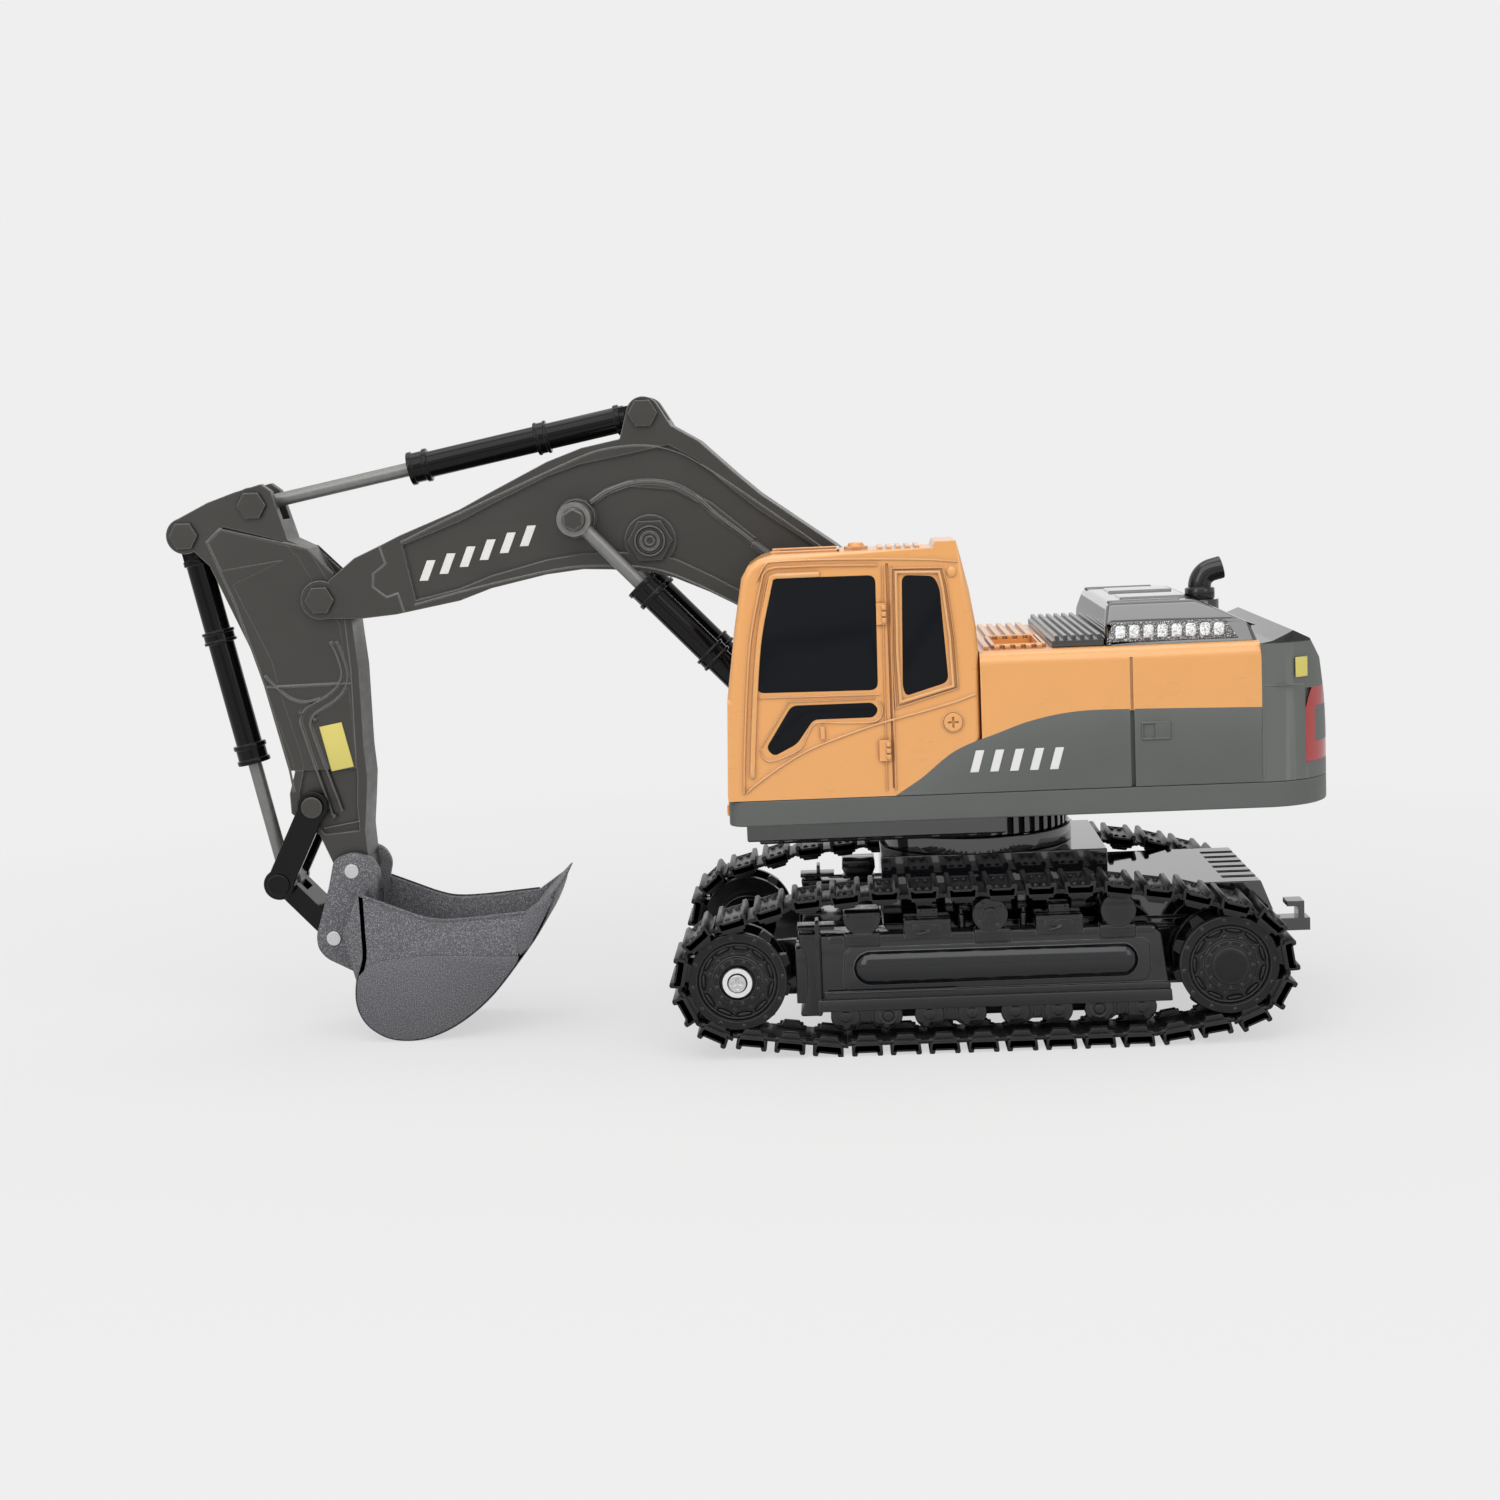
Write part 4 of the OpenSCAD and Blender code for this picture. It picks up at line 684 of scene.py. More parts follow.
def bead(bm, points, y, width, height, closed=False, flat=False):
    """A raised line along (x, z) points on a side face at y, grown from its first section."""
    rise = math.copysign(height, y)
    shoulder, lift = (0.5 - 0.22 / width, 0.96) if flat else (0.34, 0.72)
    profile = [(-0.5, -0.3), (-shoulder, lift), (0, 1), (shoulder, lift), (0.5, -0.3)]
    order = list(range(len(points))) + ([0] if closed else [])
    row, edges, faces, made = [], [], [], []
    for k, i in enumerate(order):
        spot, across = Vector(points[i]), sideways(points, i, closed) * width
        if k:
            grown = bmesh.ops.extrude_edge_only(bm, edges=edges)["geom"]
            faces += [g for g in grown if isinstance(g, bmesh.types.BMFace)]
            new = {g for g in grown if isinstance(g, bmesh.types.BMVert)}
            row = [next(e.other_vert(v) for e in v.link_edges if e.other_vert(v) in new)
                for v in row]
            edges = [e for e in {e for v in row for e in v.link_edges} if e.verts[0] in new
                and e.verts[1] in new]
        else:
            row = [bm.verts.new((0, 0, 0)) for _ in profile]
            edges = [bm.edges.new((a, b)) for a, b in zip(row, row[1:])]
        for v, (side, up) in zip(row, profile):
            v.co = (spot.x + across.x * side, y + rise * up, spot.y + across.y * side)
        made += row
        if not closed and k in (0, len(order) - 1):
            faces.append(bm.faces.new(row))
    if closed:
        bmesh.ops.remove_doubles(bm, verts=made, dist=0.001)
        faces = [f for f in faces if f.is_valid]
    bmesh.ops.recalc_face_normals(bm, faces=faces)
    if sum(f.normal.y * f.calc_area() for f in faces) * rise < 0:
        bmesh.ops.reverse_faces(bm, faces=faces)


sides = ((-1, "left"), (1, "right"))
house_side = 46.6
wave = curve([(44.9, 73.3), (52.2, 78.1), (62.1, 85.6), (73.8, 90), (84.1, 93.4), (96.3, 95.4),
    (112, 95.5), (148.1, 94.6)])
mark_white = moulded("mark_white", (0.8, 0.8, 0.78), 0.5, haze=0.02, specular_ior_level=0.2)
patch_yellow = moulded("patch_yellow", (0.72, 0.62, 0.16), 0.45, haze=0.03)


def slanted_bars(bm, first, step, count, y, width, tall, slant):
    """A row of plain slanted bars, a hair thick, in place of lettering."""
    for k in range(count):
        x, z = first[0] + step[0] * k, first[1] + step[1] * k
        outline = [(x, z), (x + width, z), (x + width + slant, z + tall), (x + slant, z + tall)]
        plate(bm, outline, y, y + math.copysign(0.12, y), 0.03)


def panel(side):
    """A grey side panel in two parts, with the dark line between them and a door pull."""
    bm = bmesh.new()
    y = side * house_side
    for low, high in ((44.9, 111.4), (112.4, 148.1)):
        top = [p for p in wave if low <= p[0] <= high + 0.01]
        if low > 100:
            top = [(low, 95.5)] + top
        else:
            top = top + [(high, 95.5)]
        plate(bm, top + [(high, 73.3), (low, 73.3)], side * 44.1, y, 0.25)
    block(bm, (108, side * 45.6, 73.4), (114, side * 44.1, 95), 0.05)
    bead(bm, [(114.6, 86.8), (122.2, 86.8), (122.2, 91.3), (114.6, 91.3)], y, 0.7, 0.45,
        closed=True)
    block(bm, (118.1, y, 87), (122, y + side * 0.35, 91.1), 0.15)
    return bm


for side, word in sides:
    set_on(panel(side), f"side_panel_{word}_moulding", house_grey, "house", (f"side_panel_{word}",))
bars = bmesh.new()
for y in (-house_side, house_side):
    slanted_bars(bars, (66, 79.2), (5.6, 0), 5, y, 2.4, 6.2, 1.8)
set_on(bars, "side_bars", mark_white, "house", smooth=0)

tail_paint = moulded("counterweight_grey", (0.105, 0.112, 0.106), 0.4, peel=0.01,
    specular_ior_level=0.8)
height = tail_paint.node("ShaderNodeSeparateXYZ", {}, tail_paint.place(), out=2)
cap = tail_paint.ramp(height, 112.1, 112.4)
tail_paint.feed(Base_Color=tail_paint.blend(cap, (0.105, 0.112, 0.104), (0.009, 0.009, 0.0095)),
    Roughness=tail_paint.ramp(cap, 0, 1, 0.42, 0.1))


def soft_tail(bm):
    rounded(bm, 1.6, 4, 14, lambda e: min(v.co.z for v in e.verts) > 103
        and min(v.co.x for v in e.verts) > 149)


def tail_lines(bm):
    for side in (-1, 1):
        bead(bm, [(149, 100.4), (160, 100.4)], side * 46.4, 0.4, 0.25)
        bead(bm, [(148.8, 74.5), (148.8, 111)], side * 46.4, 0.5, 0.2)


dressed("counterweight", 0.5, tail_paint, 3, first=soft_tail, add=tail_lines)
lamp_red = moulded("lamp_red", (0.42, 0.03, 0.03), 0.22, coat_weight=0.7)
dressed("tail_lamps", 0.3, lamp_red, 3)
patches = bmesh.new()
for side in (-1, 1):
    turned = Matrix.Translation((159.6, side * 44.1, 105.2)) @ Matrix.Rotation(side * -0.62, 4, "Z")
    made = bmesh.ops.create_cube(patches, size=1, matrix=turned
        @ Matrix.Diagonal((4.6, 0.3, 5.6, 1)))["verts"]
    soften(patches, {e for v in made for e in v.link_edges}, 0.08, 1)
set_on(patches, "tail_patches", patch_yellow, "house")


# ---- Orange body.
# The body is one orange moulding with round upper edges, a ribbed deck with a shallow tray, and a
# low box to the right of the boom.
# Its edges get a painted highlight and its creases painted shade.
body_orange = moulded("body_orange", (0.84, 0.395, 0.122), 0.3, peel=0.008, haze=0.025, edge=0.4,
    edge_highlight=(0.93, 0.56, 0.27), crease_shade=(0.36, 0.12, 0.028), coat_weight=0.5, coat_roughness=0.1)


def body_lines(bm):
    for x in (73.6, 88.2):
        block(bm, (x, -36, 112.8), (x + 1, -6, 114.2), 0.3)
    for y in (-36.5, -7):
        block(bm, (73.6, y, 112.8), (89.2, y + 1, 114.2), 0.3)


dressed("body_shell", 0.35, body_orange, add=body_lines)


# ---- Engine hood, tread plate and exhaust.
# Glossy black mouldings on the back of the body. The hood has a row of silver slots on each side,
# and the bent exhaust pipe stands in a boss on it.
def collar(bm, start, end, radius, soft=0.25, segments=40):
    """A round band with soft rims between two points."""
    a, b = Vector(start), Vector(end)
    turn = (b - a).to_track_quat("Z", "Y").to_matrix().to_4x4()
    made = bmesh.ops.create_cone(bm, cap_ends=True, segments=segments, radius1=radius,
        radius2=radius, depth=(b - a).length, matrix=Matrix.Translation((a + b) / 2)
        @ turn)["verts"]
    rims = [e for e in {e for v in made for e in v.link_edges} if e.calc_face_angle(0) > 1]
    soften(bm, rims, soft)


# Its edges get a painted highlight.
hood_black = moulded("hood_gloss_black", (0.011, 0.011, 0.0115), 0.05, peel=0.005,
    edge_highlight=(0.04, 0.04, 0.042), specular_ior_level=1.0, coat_weight=1.0)


def soft_hood(bm):
    """Rounds the hood's long outer edges and leaves those of its base."""
    def outer(e):
        p = (e.verts[0].co + e.verts[1].co) / 2
        low = min(v.co.z for v in e.verts)
        at_end = p.x < 108 or p.x > 143.2
        raised = p.z > 121.8 or (p.z > 115 and (abs(p.y) > 33.4 or at_end))
        return e.calc_length() > 4 and raised and (low > 113.2 or p.x < 108 or p.x > 143)
    soften(bm, [e for e in bent(bm, 0.26) if outer(e)], 1.7, 4, False)


def hood_lines(bm):
    for y in (-22, 6):
        block(bm, (112, y, 124), (131, y + 14, 125.1), 0.5)
    for side in (-1, 1):
        block(bm, (107.4, side * 30 - 1, 124), (128, side * 30 + 1, 124.9), 0.4)


dressed("engine_hood", 0.4, hood_black, first=soft_hood, add=hood_lines)
tread_black = moulded("tread_satin_black", (0.03, 0.03, 0.031), 0.16, peel=0.03,
    specular_ior_level=1.0)
dressed("tread_panel", 0.45, tread_black)

pipe, pipe_radius, mouth_turn = bmesh.new(), 3.3, math.radians(76)
ring = bmesh.ops.create_circle(pipe, cap_ends=False, radius=pipe_radius, segments=40,
    matrix=Matrix.Translation((136.1, -15, 123.3)))["verts"]
ends = {e for v in ring for e in v.link_edges}
grown = bmesh.ops.extrude_edge_only(pipe, edges=list(ends))["geom"]
bmesh.ops.translate(pipe, vec=(0, 0, 3.6), verts=[g for g in grown
    if isinstance(g, bmesh.types.BMVert)])
ends = [g for g in grown if isinstance(g, bmesh.types.BMEdge) and all(v.co.z > 126
    for v in g.verts)]
bend = bmesh.ops.spin(pipe, geom=ends, cent=(140.9, -15, 126.9), axis=(0, 1, 0), angle=mouth_turn,
    steps=14)["geom_last"]
mouth = [g for g in bend if isinstance(g, bmesh.types.BMEdge)]
forward = Vector((math.sin(mouth_turn), 0, math.cos(mouth_turn)))
for out, size in ((2.6, 1.0), (0.3, 0.97), (0.1, 0.9), (0.0, 0.76), (-2.6, 0.74)):
    grown = bmesh.ops.extrude_edge_only(pipe, edges=mouth)["geom"]
    verts = [g for g in grown if isinstance(g, bmesh.types.BMVert)]
    mouth = [g for g in grown if isinstance(g, bmesh.types.BMEdge) and g.verts[0] in verts
        and g.verts[1] in verts]
    bmesh.ops.translate(pipe, vec=forward * out, verts=verts)
    centre = sum((v.co for v in verts), Vector()) / len(verts)
    now = sum((v.co - centre).length for v in verts) / len(verts)
    for v in verts:
        v.co = centre + (v.co - centre) * (pipe_radius * size / now)
pipe.faces.new(verts)
bmesh.ops.recalc_face_normals(pipe, faces=pipe.faces)
collar(pipe, (136.1, -15, 123.2), (136.1, -15, 126.6), 4.3, 0.5)
# Its edges get a painted highlight.
pipe_black = moulded("pipe_black", (0.006, 0.006, 0.0065), 0.12, peel=0.006,
    edge_highlight=(0.04, 0.04, 0.042))
set_on(pipe, "exhaust_elbow", pipe_black, "house", ("exhaust_pipe",))
grille_silver = Paint("grille_silver", (0.8, 0.8, 0.8), metallic=0.6, roughness=0.3)
grain = grille_silver.cloud(0.5, 3)
grille_silver.feed(Roughness=grille_silver.ramp(grain, 0.3, 0.7, 0.2, 0.5),
    Base_Color=grille_silver.blend(grille_silver.ramp(grain, 0.35, 0.6), (0.3, 0.3, 0.3),
    (0.75, 0.75, 0.75)))
grille_silver.bump(grille_silver.cloud(0.7, 3), 0.35)
speckled = Paint("grille_speckled", (0.1, 0.1, 0.1), metallic=0.3, roughness=0.4)
specks = speckled.ramp(speckled.cloud(0.32, 2), 0.5, 0.62)
speckled.feed(Base_Color=speckled.blend(specks, (0.05, 0.05, 0.052), (0.55, 0.55, 0.55)),
    Roughness=speckled.ramp(specks, 0, 1, 0.5, 0.28))
speckled.bump(specks, 0.06)
slots, surround = bmesh.new(), bmesh.new()
for side in (-1, 1):
    lean = (Matrix.Translation((0, side * 42.0, 113)) @ Matrix.Rotation(side * 0.395, 4, "X"))
    frame_part, slot_part = bmesh.new(), bmesh.new()
    plate(frame_part, curve([(105.6, 0.9), (107.4, 5.6), (109, 6.5), (136, 6.5), (139.5, 5.6),
        (142.6, 0.9)], 3), -0.5, 0.35, 0.25)
    for k in range(8):
        x = 108.6 + 3.95 * k
        plate(slot_part, [(x - 0.5, 1.7), (x + 1.9, 1.7), (x + 2.5, 2.3), (x + 2.7, 5),
            (x + 2.2, 5.7), (x + 0.3, 5.7), (x - 0.3, 5)], -0.4, 0.7, 0.3)
    for part, whole in ((frame_part, surround), (slot_part, slots)):
        if side < 0:
            bmesh.ops.scale(part, vec=(1, -1, 1), verts=part.verts)
            bmesh.ops.reverse_faces(part, faces=part.faces)
        bmesh.ops.transform(part, matrix=lean, verts=part.verts)
        merge(whole, part)
set_on(slots, "hood_slots", grille_silver, "house", ("hood_grilles",))
set_on(surround, "hood_slot_frames", speckled, "house", ())


# ---- Cab.
# An orange box moulding with flush glossy black panes, a raised rear edge, door grooves, hinges, a
# handle, a cap with a cross, and on its roof a window, a hatch boss and a slatted grille.
cab_side = [(-2.6, 75), (-1.6, 103.1), (1.2, 122.4), (3.7, 136.5), (5.7, 139.8), (8.8, 141.7),
    (12.7, 142.8), (57.5, 142.8), (64.9, 141.4), (67.4, 130.6), (69, 120.3), (69.6, 109.9),
    (69.5, 88.2)]


def shifted(points, by, closed=False):
    """The same line, moved sideways."""
    return [tuple(Vector(p) + sideways(points, i, closed) * by) for i, p in enumerate(points)]


def gap_to(p, line):
    """Distance from a point to a line of points, in the side view."""
    best = 99.0
    for a, b in zip(line, line[1:]):
        a, b = Vector(a), Vector(b)
        t = min(1, max(0, (p - a).dot(b - a) / (b - a).length_squared))
        best = min(best, (p - a - (b - a) * t).length)
    return best


def soft_cab(bm):
    """Rounds the outline of the cab's outer face."""
    def on_rim(v):
        return abs(v.co.y + 46.5) < 0.02 and gap_to(v.co.xz, cab_side) < 0.1
    soften(bm, [e for e in bent(bm, 0.9) if all(map(on_rim, e.verts))], 2.1, 5, False)


door_hole = [(6.8, 104), (8.3, 118), (12.4, 136.1), (41.3, 135.9), (40.9, 103.6)]
rear_hole = [(48.7, 135.6), (57.6, 135), (59.1, 131.6), (60.8, 105.1), (48.7, 101.6), (47.9, 104.3)]
low_hole = [(16.4, 100.1), (39.3, 100.1), (40.9, 98.1), (39.5, 95.9), (22.4, 95.9), (17.6, 89.2),
    (10.9, 85.9), (8.8, 88.3)]
seat_y, seam_y = -45.65, -46.45
near_glass, far_glass = (-46.2, -46.56), (-21.0, -21.75)


def cab_lines(bm):
    """Fills the pane seats and adds seams, frames, hinges, handle, cap and roof fittings."""
    def seam(points, width, height, **kind):
        bead(bm, points, seam_y, width, height, **kind)
    for hole in (door_hole, rear_hole, low_hole):
        plate(bm, hole, seat_y, seam_y - 0.01)
    door = curve([(2.0, 75.6), (2.5, 85.6), (3.9, 103.3), (5.4, 117.4), (7.4, 127.8)],
        4)[:-1] + [(9.9, 137.3), (11.2, 138.7), (13.5, 139.2), (25.7, 139.2), (41.9, 138.7)]
    seam(door, 0.8, 0.75)
    seam(shifted(door, -2.4)[2:-1], 1.7, 0.8, flat=True)
    seam(curve([(5.2, 82), (5.4, 97.4), (5.9, 104.4), (7.8, 120.8), (10.7, 134.6), (11.9, 137)], 4),
        0.6, 0.8)
    seam([(47.1, 136.5), (59.0, 136.1), (59.9, 132), (61.5, 117.4), (62.1, 103.9), (47.1, 99.9),
        (46.7, 113.4)], 1.1, 0.8, closed=True, flat=True)
    seam([(45.9, 137.6), (60.1, 137.2), (61.1, 132.5), (62.8, 117.4), (63.4, 103.3), (45.7, 98.2),
        (45.4, 113.4)], 0.5, 0.6, closed=True)
    seam(curve([(2.5, 75.6), (5.6, 78.1), (11.7, 82.3), (17.7, 85.8), (23.7, 88.5), (35.5, 92.5),
        (43.4, 94.7), (53.2, 97), (62.1, 99.3), (68.2, 101.3)], 4), 0.8, 0.6)
    seam(curve([(7.1, 87.8), (8.1, 85.3), (10.9, 84.6), (18.3, 87.6), (20.4, 91.2), (23.1, 94.9),
        (30, 94.7), (39.9, 94.7), (42, 97.9), (41, 100.6)], 3), 0.6, 0.5)
    seam([(7.4, 88.6), (15.6, 101.2), (40, 101.2)], 0.5, 0.5)
    seam([(6.4, 102.6), (41.6, 102.3)], 0.5, 0.5)
    seam([(43.3, 138.3), (42.9, 113.5), (42.5, 75)], 0.6, 0.6)
    seam([(45.6, 138.2), (45.1, 113.4), (45.0, 75)], 0.7, 0.6)
    seam(curve([(8.2, 135.5), (10.6, 139.9), (14.1, 140.8), (31.6, 140.7), (54.7, 139.7),
        (64.2, 138.7)], 4), 0.6, 0.5)
    for z in (83.4, 122):
        for k in range(3):
            collar(bm, (43.3, -47.3, z + 0.5 + 1.8 * k), (43.3, -47.3, z + 1.9 + 1.8 * k), 0.75,
                0.2, 20)
    ball(bm, Matrix.Translation((62.6, -46.4, 136)) @ Matrix.Diagonal((1.5, 0.9, 1.7, 1)), 1, 24,
        12)
    lathe(bm, [(2.7, -46.3), (3.2, -46.3), (3.1, -46.75), (2.7, -46.75)], (61.7, 93.7), 48)
    # Roof: kerb round the window, hatch boss, clips.
    for low, high in (((12.2, -43.4, 142.5), (31.6, -42.2, 143.5)),
            ((12.2, -25.4, 142.5), (31.6, -24.2, 143.5)), ((30.6, -43.4, 142.5),
            (31.6, -24.2, 143.5))):
        block(bm, low, high, 0.3)
    boss = bmesh.ops.create_cone(bm, cap_ends=True, segments=40, radius1=2.6, radius2=2.0,
        depth=1.4, matrix=Matrix.Translation((36.3, -34, 144)))["verts"]
    soften(bm, [e for e in {e for v in boss for e in v.link_edges} if e.calc_face_angle(0) > 1],
        0.25)
    for dy in (-5.2, 4.0):
        block(bm, (35.2, -34 + dy, 142.6), (37.6, -33 + dy, 144.0), 0.25)


dressed("cab_shell", 0.4, body_orange, first=soft_cab, add=cab_lines)


def cut_corners(points, radius):
    """An outline with each corner replaced by a short curve."""
    line = []
    for i, p in enumerate(points):
        p, a, b = Vector(p), Vector(points[i - 1]), Vector(points[(i + 1) % len(points)])
        r = min(radius, (a - p).length * 0.45, (b - p).length * 0.45)
        start, end = p + (a - p).normalized() * r, p + (b - p).normalized() * r
        for t in (0, 0.25, 0.5, 0.75, 1):
            q = start * (1 - t) ** 2 + p * 2 * t * (1 - t) + end * t ** 2
            line.append((q.x, q.y))
    return line


pane_black = moulded("pane_black", (0.0055, 0.007, 0.0092), 0.16, peel=0.003,
    specular_ior_level=0.12)
panes = bmesh.new()
glass = [cut_corners(*shape) for shape in ((door_hole, 2.2), (rear_hole, 2.0), (low_hole, 1.7))]
for outline in glass:
    plate(panes, outline, *near_glass, 0.08)
for outline in glass[:2]:
    plate(panes, outline, *far_glass, 0.1)
set_on(panes, "cab_glazing", pane_black, "house", ("cab_panes",))
dressed("windscreen", 0.2, pane_black)
roof_glass = moulded("roof_glass", (0.25, 0.26, 0.27), 0.06, peel=0.004, specular_ior_level=0.6)
dressed("skylight", 0.2, roof_glass)


# ---- Boom bracket and boom.
# The boom is two olive-grey half shells with raised rims, joined along the middle by pins with
# hexagon heads. It turns in a bracket on the house floor.
# Its edges get a painted highlight and its creases painted shade.
arm_grey = moulded("arm_olive_grey", (0.039, 0.0368, 0.0325), 0.34, peel=0.012, edge=0.45,
    edge_highlight=(0.3, 0.298, 0.285), crease_shade=(0.016, 0.016, 0.014))
for node in ("boom_bracket", "foot_pins"):
    dressed(node, 0.35, arm_grey)


boom_face = 9.3
mid_pin, rod_pin = (-24.0, 146.7), (-45.5, 154.1)


def ring_on(bm, side, outline, centre, steps):
    """A raised ring round a pin, from an outline of (radius, distance from the middle)."""
    lathe(bm, [(r, side * y) for r, y in outline], centre, steps)


def boom_detail(side):
    """Relief lines, the raised arch and the rings round two pins, on one side of the boom."""
    def add(bm):
        rim, face = side * 10.45, side * boom_face
        bead(bm, [(-104.6, 148.6), (-103, 143.2), (-106.8, 140.3), (-107.2, 136.4), (-103.3, 133.2),
            (-99.9, 134.2), (-98.4, 128.8)], rim, 0.45, 0.3)
        bead(bm, curve([(-98, 149.3), (-83, 155.8), (-63.5, 163.9), (-46.2, 170.9), (-36.6, 173.9),
            (-25, 174.6), (-15.7, 172.6), (-7.5, 168), (9.8, 155.3), (30.1, 139.8)], 4), rim, 0.4,
            0.25)
        bead(bm, curve([(-95, 130.6), (-75.9, 135), (-52.3, 139.3), (-38.5, 139.9), (-24, 138.4),
            (-12, 133.8), (4, 125), (20, 115.6)], 4), rim, 0.4, 0.25)
        bead(bm, curve([(-41, 158.2), (-35.5, 161.7), (-26.7, 163.9), (-17.3, 162.9),
            (-10.1, 158.9), (-4.1, 153.2), (3.1, 147.5), (6.6, 144.4)], 4), face, 1.7, 1.1)
        bead(bm, [(6.1, 144.6), (20, 133.4)], face, 2.4, 1.5)
        for r0, r1 in ((4.0, 4.6), (2.5, 3.1)):
            ring_on(bm, side, ((r0, 12.2), (r0 + 0.1, 12.95), (r1 - 0.1, 12.95), (r1, 12.2)),
                mid_pin, 48)
        ring_on(bm, side, ((4.7, 10.3), (4.9, 11.1), (5.6, 11.1), (5.9, 10.3)), rod_pin, 48)
    return add


for side, word in sides:
    dressed(f"boom_{word}", 0.45, arm_grey, add=boom_detail(side))


def pin_rings(bm):
    for side in (-1, 1):
        for r0, r1 in ((1.0, 1.5), (2.2, 2.6)):
            ring_on(bm, side, ((r0, 12.3), (r0, 12.85), (r1, 12.85), (r1, 12.3)), mid_pin, 32)
        collar(bm, (-45.5, side * 19.6, 154.1), (-45.5, side * 20.6, 154.1), 3.1, 0.3, 6)


dressed("boom_pins", 0.35, arm_grey, add=pin_rings)
bars = bmesh.new()
for y in (-boom_face, boom_face):
    slanted_bars(bars, (-93.4, 137.6), (6.1, 1.8), 6, y, 2.6, 6.0, 2.6)
set_on(bars, "boom_bars", mark_white, "boom", smooth=0)


# ---- Stick.
# Two half shells of the same olive-grey plastic, closed by two pins with hexagon heads.
def stick_detail(side):
    """The flush cover of the inner panel, its rim, pipes and small bolts, on one side."""
    def add(bm):
        rim, face = side * 7.95, side * 8.05
        plate(bm, [(-136.2, 82), (-142.1, 108.4), (-149.2, 132.9), (-156.4, 151.5), (-152.3, 155),
            (-131.1, 149.4), (-126.9, 148.2), (-119.6, 141), (-116.9, 127), (-116, 112),
            (-116.2, 82)], side * 6.5, side * 8.1, 0.15)
        bead(bm, [(-135.6, 75.5), (-136.5, 82.1), (-142.3, 108.4), (-149.4, 132.9), (-156.6, 151.7),
            (-152.4, 155.3), (-131.1, 149.8), (-126.8, 148.5), (-119.8, 141.3)], rim, 0.7, 0.35)
        bead(bm, [(-141.9, 107.5), (-116.4, 107.8)], face, 0.7, 0.5)
        for line in ([(-121.4, 120.4), (-119.7, 116.3), (-118.6, 110.9), (-120.2, 107.1),
                (-123.9, 104), (-129.7, 101), (-131.9, 97.8), (-131.2, 92.9), (-124.2, 67.4)],
                [(-119.8, 120.4), (-118.2, 116.2), (-117, 110.5), (-118.3, 105.7), (-121.8, 102.3),
                (-127.2, 99.2), (-129, 96.4), (-128.1, 91.5), (-121.3, 69.2)],
                [(-142, 111), (-139.2, 107.9), (-135, 104.1), (-130.6, 102.6), (-125.6, 103.4)]):
            bead(bm, curve(line, 4), face, 0.9, 0.7)
        bead(bm, [(-127.2, 64.1), (-116.4, 65.8)], rim, 0.5, 0.3)
        for spot in ((-131.9, 99.4), (-127.6, 97.2), (-123.9, 67.6)):
            ball(bm, Matrix.Translation((spot[0], face + side * 0.3, spot[1])), 0.9, 12, 8)
    return add


for side, word in sides:
    dressed(f"stick_{word}", 0.45, arm_grey, add=stick_detail(side))
dressed("stick_pins", 0.4, arm_grey)
patches = bmesh.new()
for y in (-8.08, 8.08):
    plate(patches, [(-126.6, 95.0), (-119.8, 96.2), (-116.9, 82.6), (-123.7, 81.4)], y,
        y + math.copysign(0.3, y), 0.05)
set_on(patches, "stick_patches", patch_yellow, "stick")


# ---- Toy cylinders.
# Glossy black tubes with two collars, in which a grey rod slides. The boom has a pair, one on each
# side; the stick and the bucket have one each.
# Its edges get a painted highlight.
cylinder_black = moulded("cylinder_black", (0.003, 0.003, 0.0038), 0.11, edge_highlight=(0.05, 0.05, 0.052),
    specular_ior_level=0.22)


def clamps(base, eye, length, middle_at, sides):
    """Two-band clamps: a pair of rims at the middle collar and a double band at the rod end."""
    def add(bm):
        for y in sides:
            a, b = Vector((base[0], y, base[1])), Vector((eye[0], y, eye[1]))
            d = (b - a).normalized()
            for low, high, r in ((middle_at - 0.3, middle_at + 0.7, 4.95),
                    (middle_at + 2.6, middle_at + 3.6, 4.95), (length - 6.1, length - 4.6, 5.0),
                    (length - 1.4, length + 0.1, 5.0), (7.4, 9.2, 4.5)):
                collar(bm, a + d * low, a + d * high, r, 0.3)
    return add


for node, base, eye, length, at, sides in (("boom_barrels", (16.3, 88), (-45.5, 154.1), 63.6, 32,
        (-15.6, 15.6)), ("stick_barrel", (-24.4, 184), (-142.3, 162), 72.6, 30, (0,)),
        ("bucket_barrel", (-163.4, 153.8), (-141.6, 47.7), 71.3, 30, (0,))):
    dressed(node, 0.3, cylinder_black, add=clamps(base, eye, length, at, sides))
rod_grey = Paint("rod_silver_grey", (0.3, 0.3, 0.29), metallic=0.5, roughness=0.35)
streak = rod_grey.node("ShaderNodeTexNoise", {}, rod_grey.place(), Scale=0.6, Detail=4.0)
rod_grey.feed(Roughness=rod_grey.ramp(streak, 0.3, 0.7, 0.28, 0.45),
    Base_Color=rod_grey.blend(streak, (0.17, 0.17, 0.165), (0.25, 0.25, 0.24)))
for node in ("boom_rods", "stick_rod", "bucket_rod"):
    dressed(node, 0.3, rod_grey)


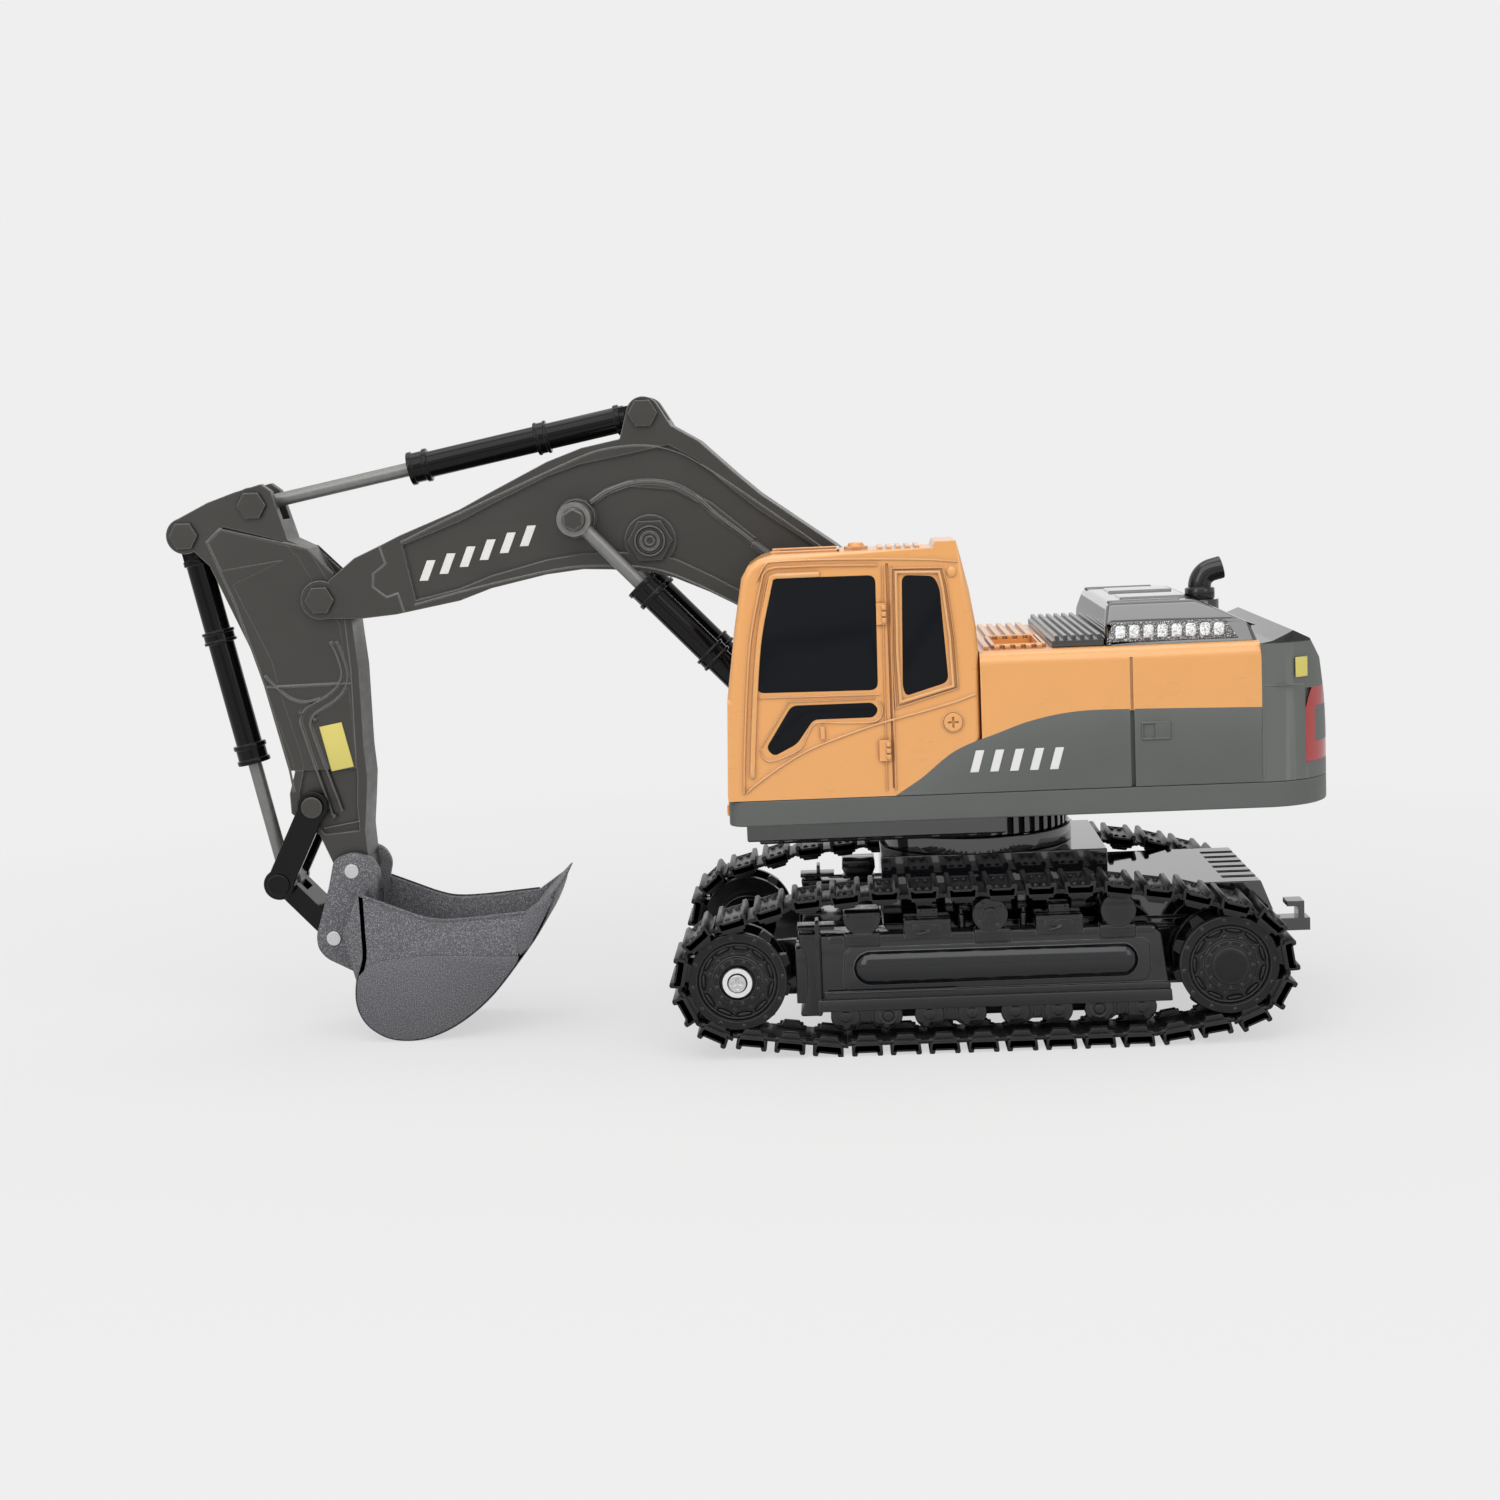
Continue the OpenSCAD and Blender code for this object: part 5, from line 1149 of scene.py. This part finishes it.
# ---- Bucket linkage and bucket.
# Black rocker arms and a link turn the bucket. The bucket is one moulding in grey plastic with
# metal flake, with six teeth on its lip and two ears for its pins.
for node in ("rocker_arms", "rocker_pin", "bucket_link"):
    dressed(node, 0.5, cylinder_black, 3)
bucket_flake = Paint("bucket_metal_flake", (0.09, 0.09, 0.096), roughness=0.42)
bright = bucket_flake.ramp(bucket_flake.cloud(0.3, 2), 0.5, 0.66)
bucket_flake.feed(Base_Color=bucket_flake.blend(bright, (0.084, 0.085, 0.093), (0.3, 0.3, 0.32)),
    Metallic=bright * 0.6, Roughness=bucket_flake.ramp(bright, 0.0, 1.0, 0.48, 0.3))
bucket_flake.bump(bright, 0.03)
outer = curve([(-57.2, 44.4), (-57.9, 40.5), (-61.7, 32.6), (-67.7, 24.4), (-76.7, 13.6),
    (-84.8, 6.7), (-92.8, 2.2), (-100.7, 0.1), (-108.4, 0.6), (-113.9, 3.4), (-117.3, 7.4),
    (-118.8, 12.6), (-118.3, 19.2), (-116.2, 26), (-116.1, 34), (-116.2, 45.4)])
brim = [(-116.2, 45.4), (-105.7, 41.1), (-98.2, 38.1), (-92.1, 36.7), (-82.9, 36.8), (-66.4, 38.1)]
bucket, half_width, teeth = bmesh.new(), 19, 6
sheet = outer[3:]
plate(bucket, sheet + list(reversed(shifted(sheet, -1.8))), -half_width, half_width, 0.25)
for side in (-1, 1):
    plate(bucket, [p for p in outer if p[1] < 20 or p[0] > -100] + [(-118.8, 21.2),
        (-121.4, 33.4)] + curve(brim, 4), side * 17.2, side * half_width, 0.3)
    belly = [p for p in shifted(outer, -0.5) if p[1] < (24.4 if p[0] > -90 else 20)]
    plate(bucket, belly + curve([(-117.4, 20.6), (-114.2, 23.2), (-108.8, 25.2), (-95.8, 26.1),
        (-82.9, 25.5), (-68.6, 25)], 4), side * 18.9, side * 19.5, 0.3)
    bead(bucket, curve(brim, 4), side * 18.95, 1.0, 0.4, flat=True)
    plate(bucket, [(-68.4, 25.1), (-68.9, 30.5), (-66.6, 37.5), (-58.4, 43.4), (-57.6, 41.6),
        (-62.2, 33.2), (-65.5, 27.6)], side * 18.9, side * 19.8, 0.3)
    plate(bucket, cut_corners([(-124.4, 55), (-118.7, 57), (-112.7, 55), (-110.3, 50.6),
        (-112.2, 43), (-114.1, 30), (-117.1, 18.4), (-124.7, 22.4), (-128.5, 24.4), (-130.9, 27.4),
        (-131.3, 31.4), (-130, 35.4), (-126.3, 47)], 2.2), side * 8.35, side * 10.95, 0.35)
    plate(bucket, [(-117.3, 20), (-114.1, 20), (-113.7, 42), (-116.1, 42)], -10.9, 10.9, 0.3)
for k in range(teeth):
    y = -half_width + (k + 0.5) * 2 * half_width / teeth
    plate(bucket, [(-64.7, 37.4), (-55.9, 46.2), (-55.3, 46.4), (-57.3, 42.4), (-62.7, 33)],
        y - 1.7, y + 1.7, 0.3)
    plate(bucket, [(-62.9, 37.6), (-58.6, 41.9), (-59.6, 38.6), (-62.9, 34.4)], y - 2.3, y + 2.3,
        0.3)
set_on(bucket, "bucket_moulding", bucket_flake, "bucket", ("bucket",))
dressed("bucket_pins", 0.25, screw_steel)
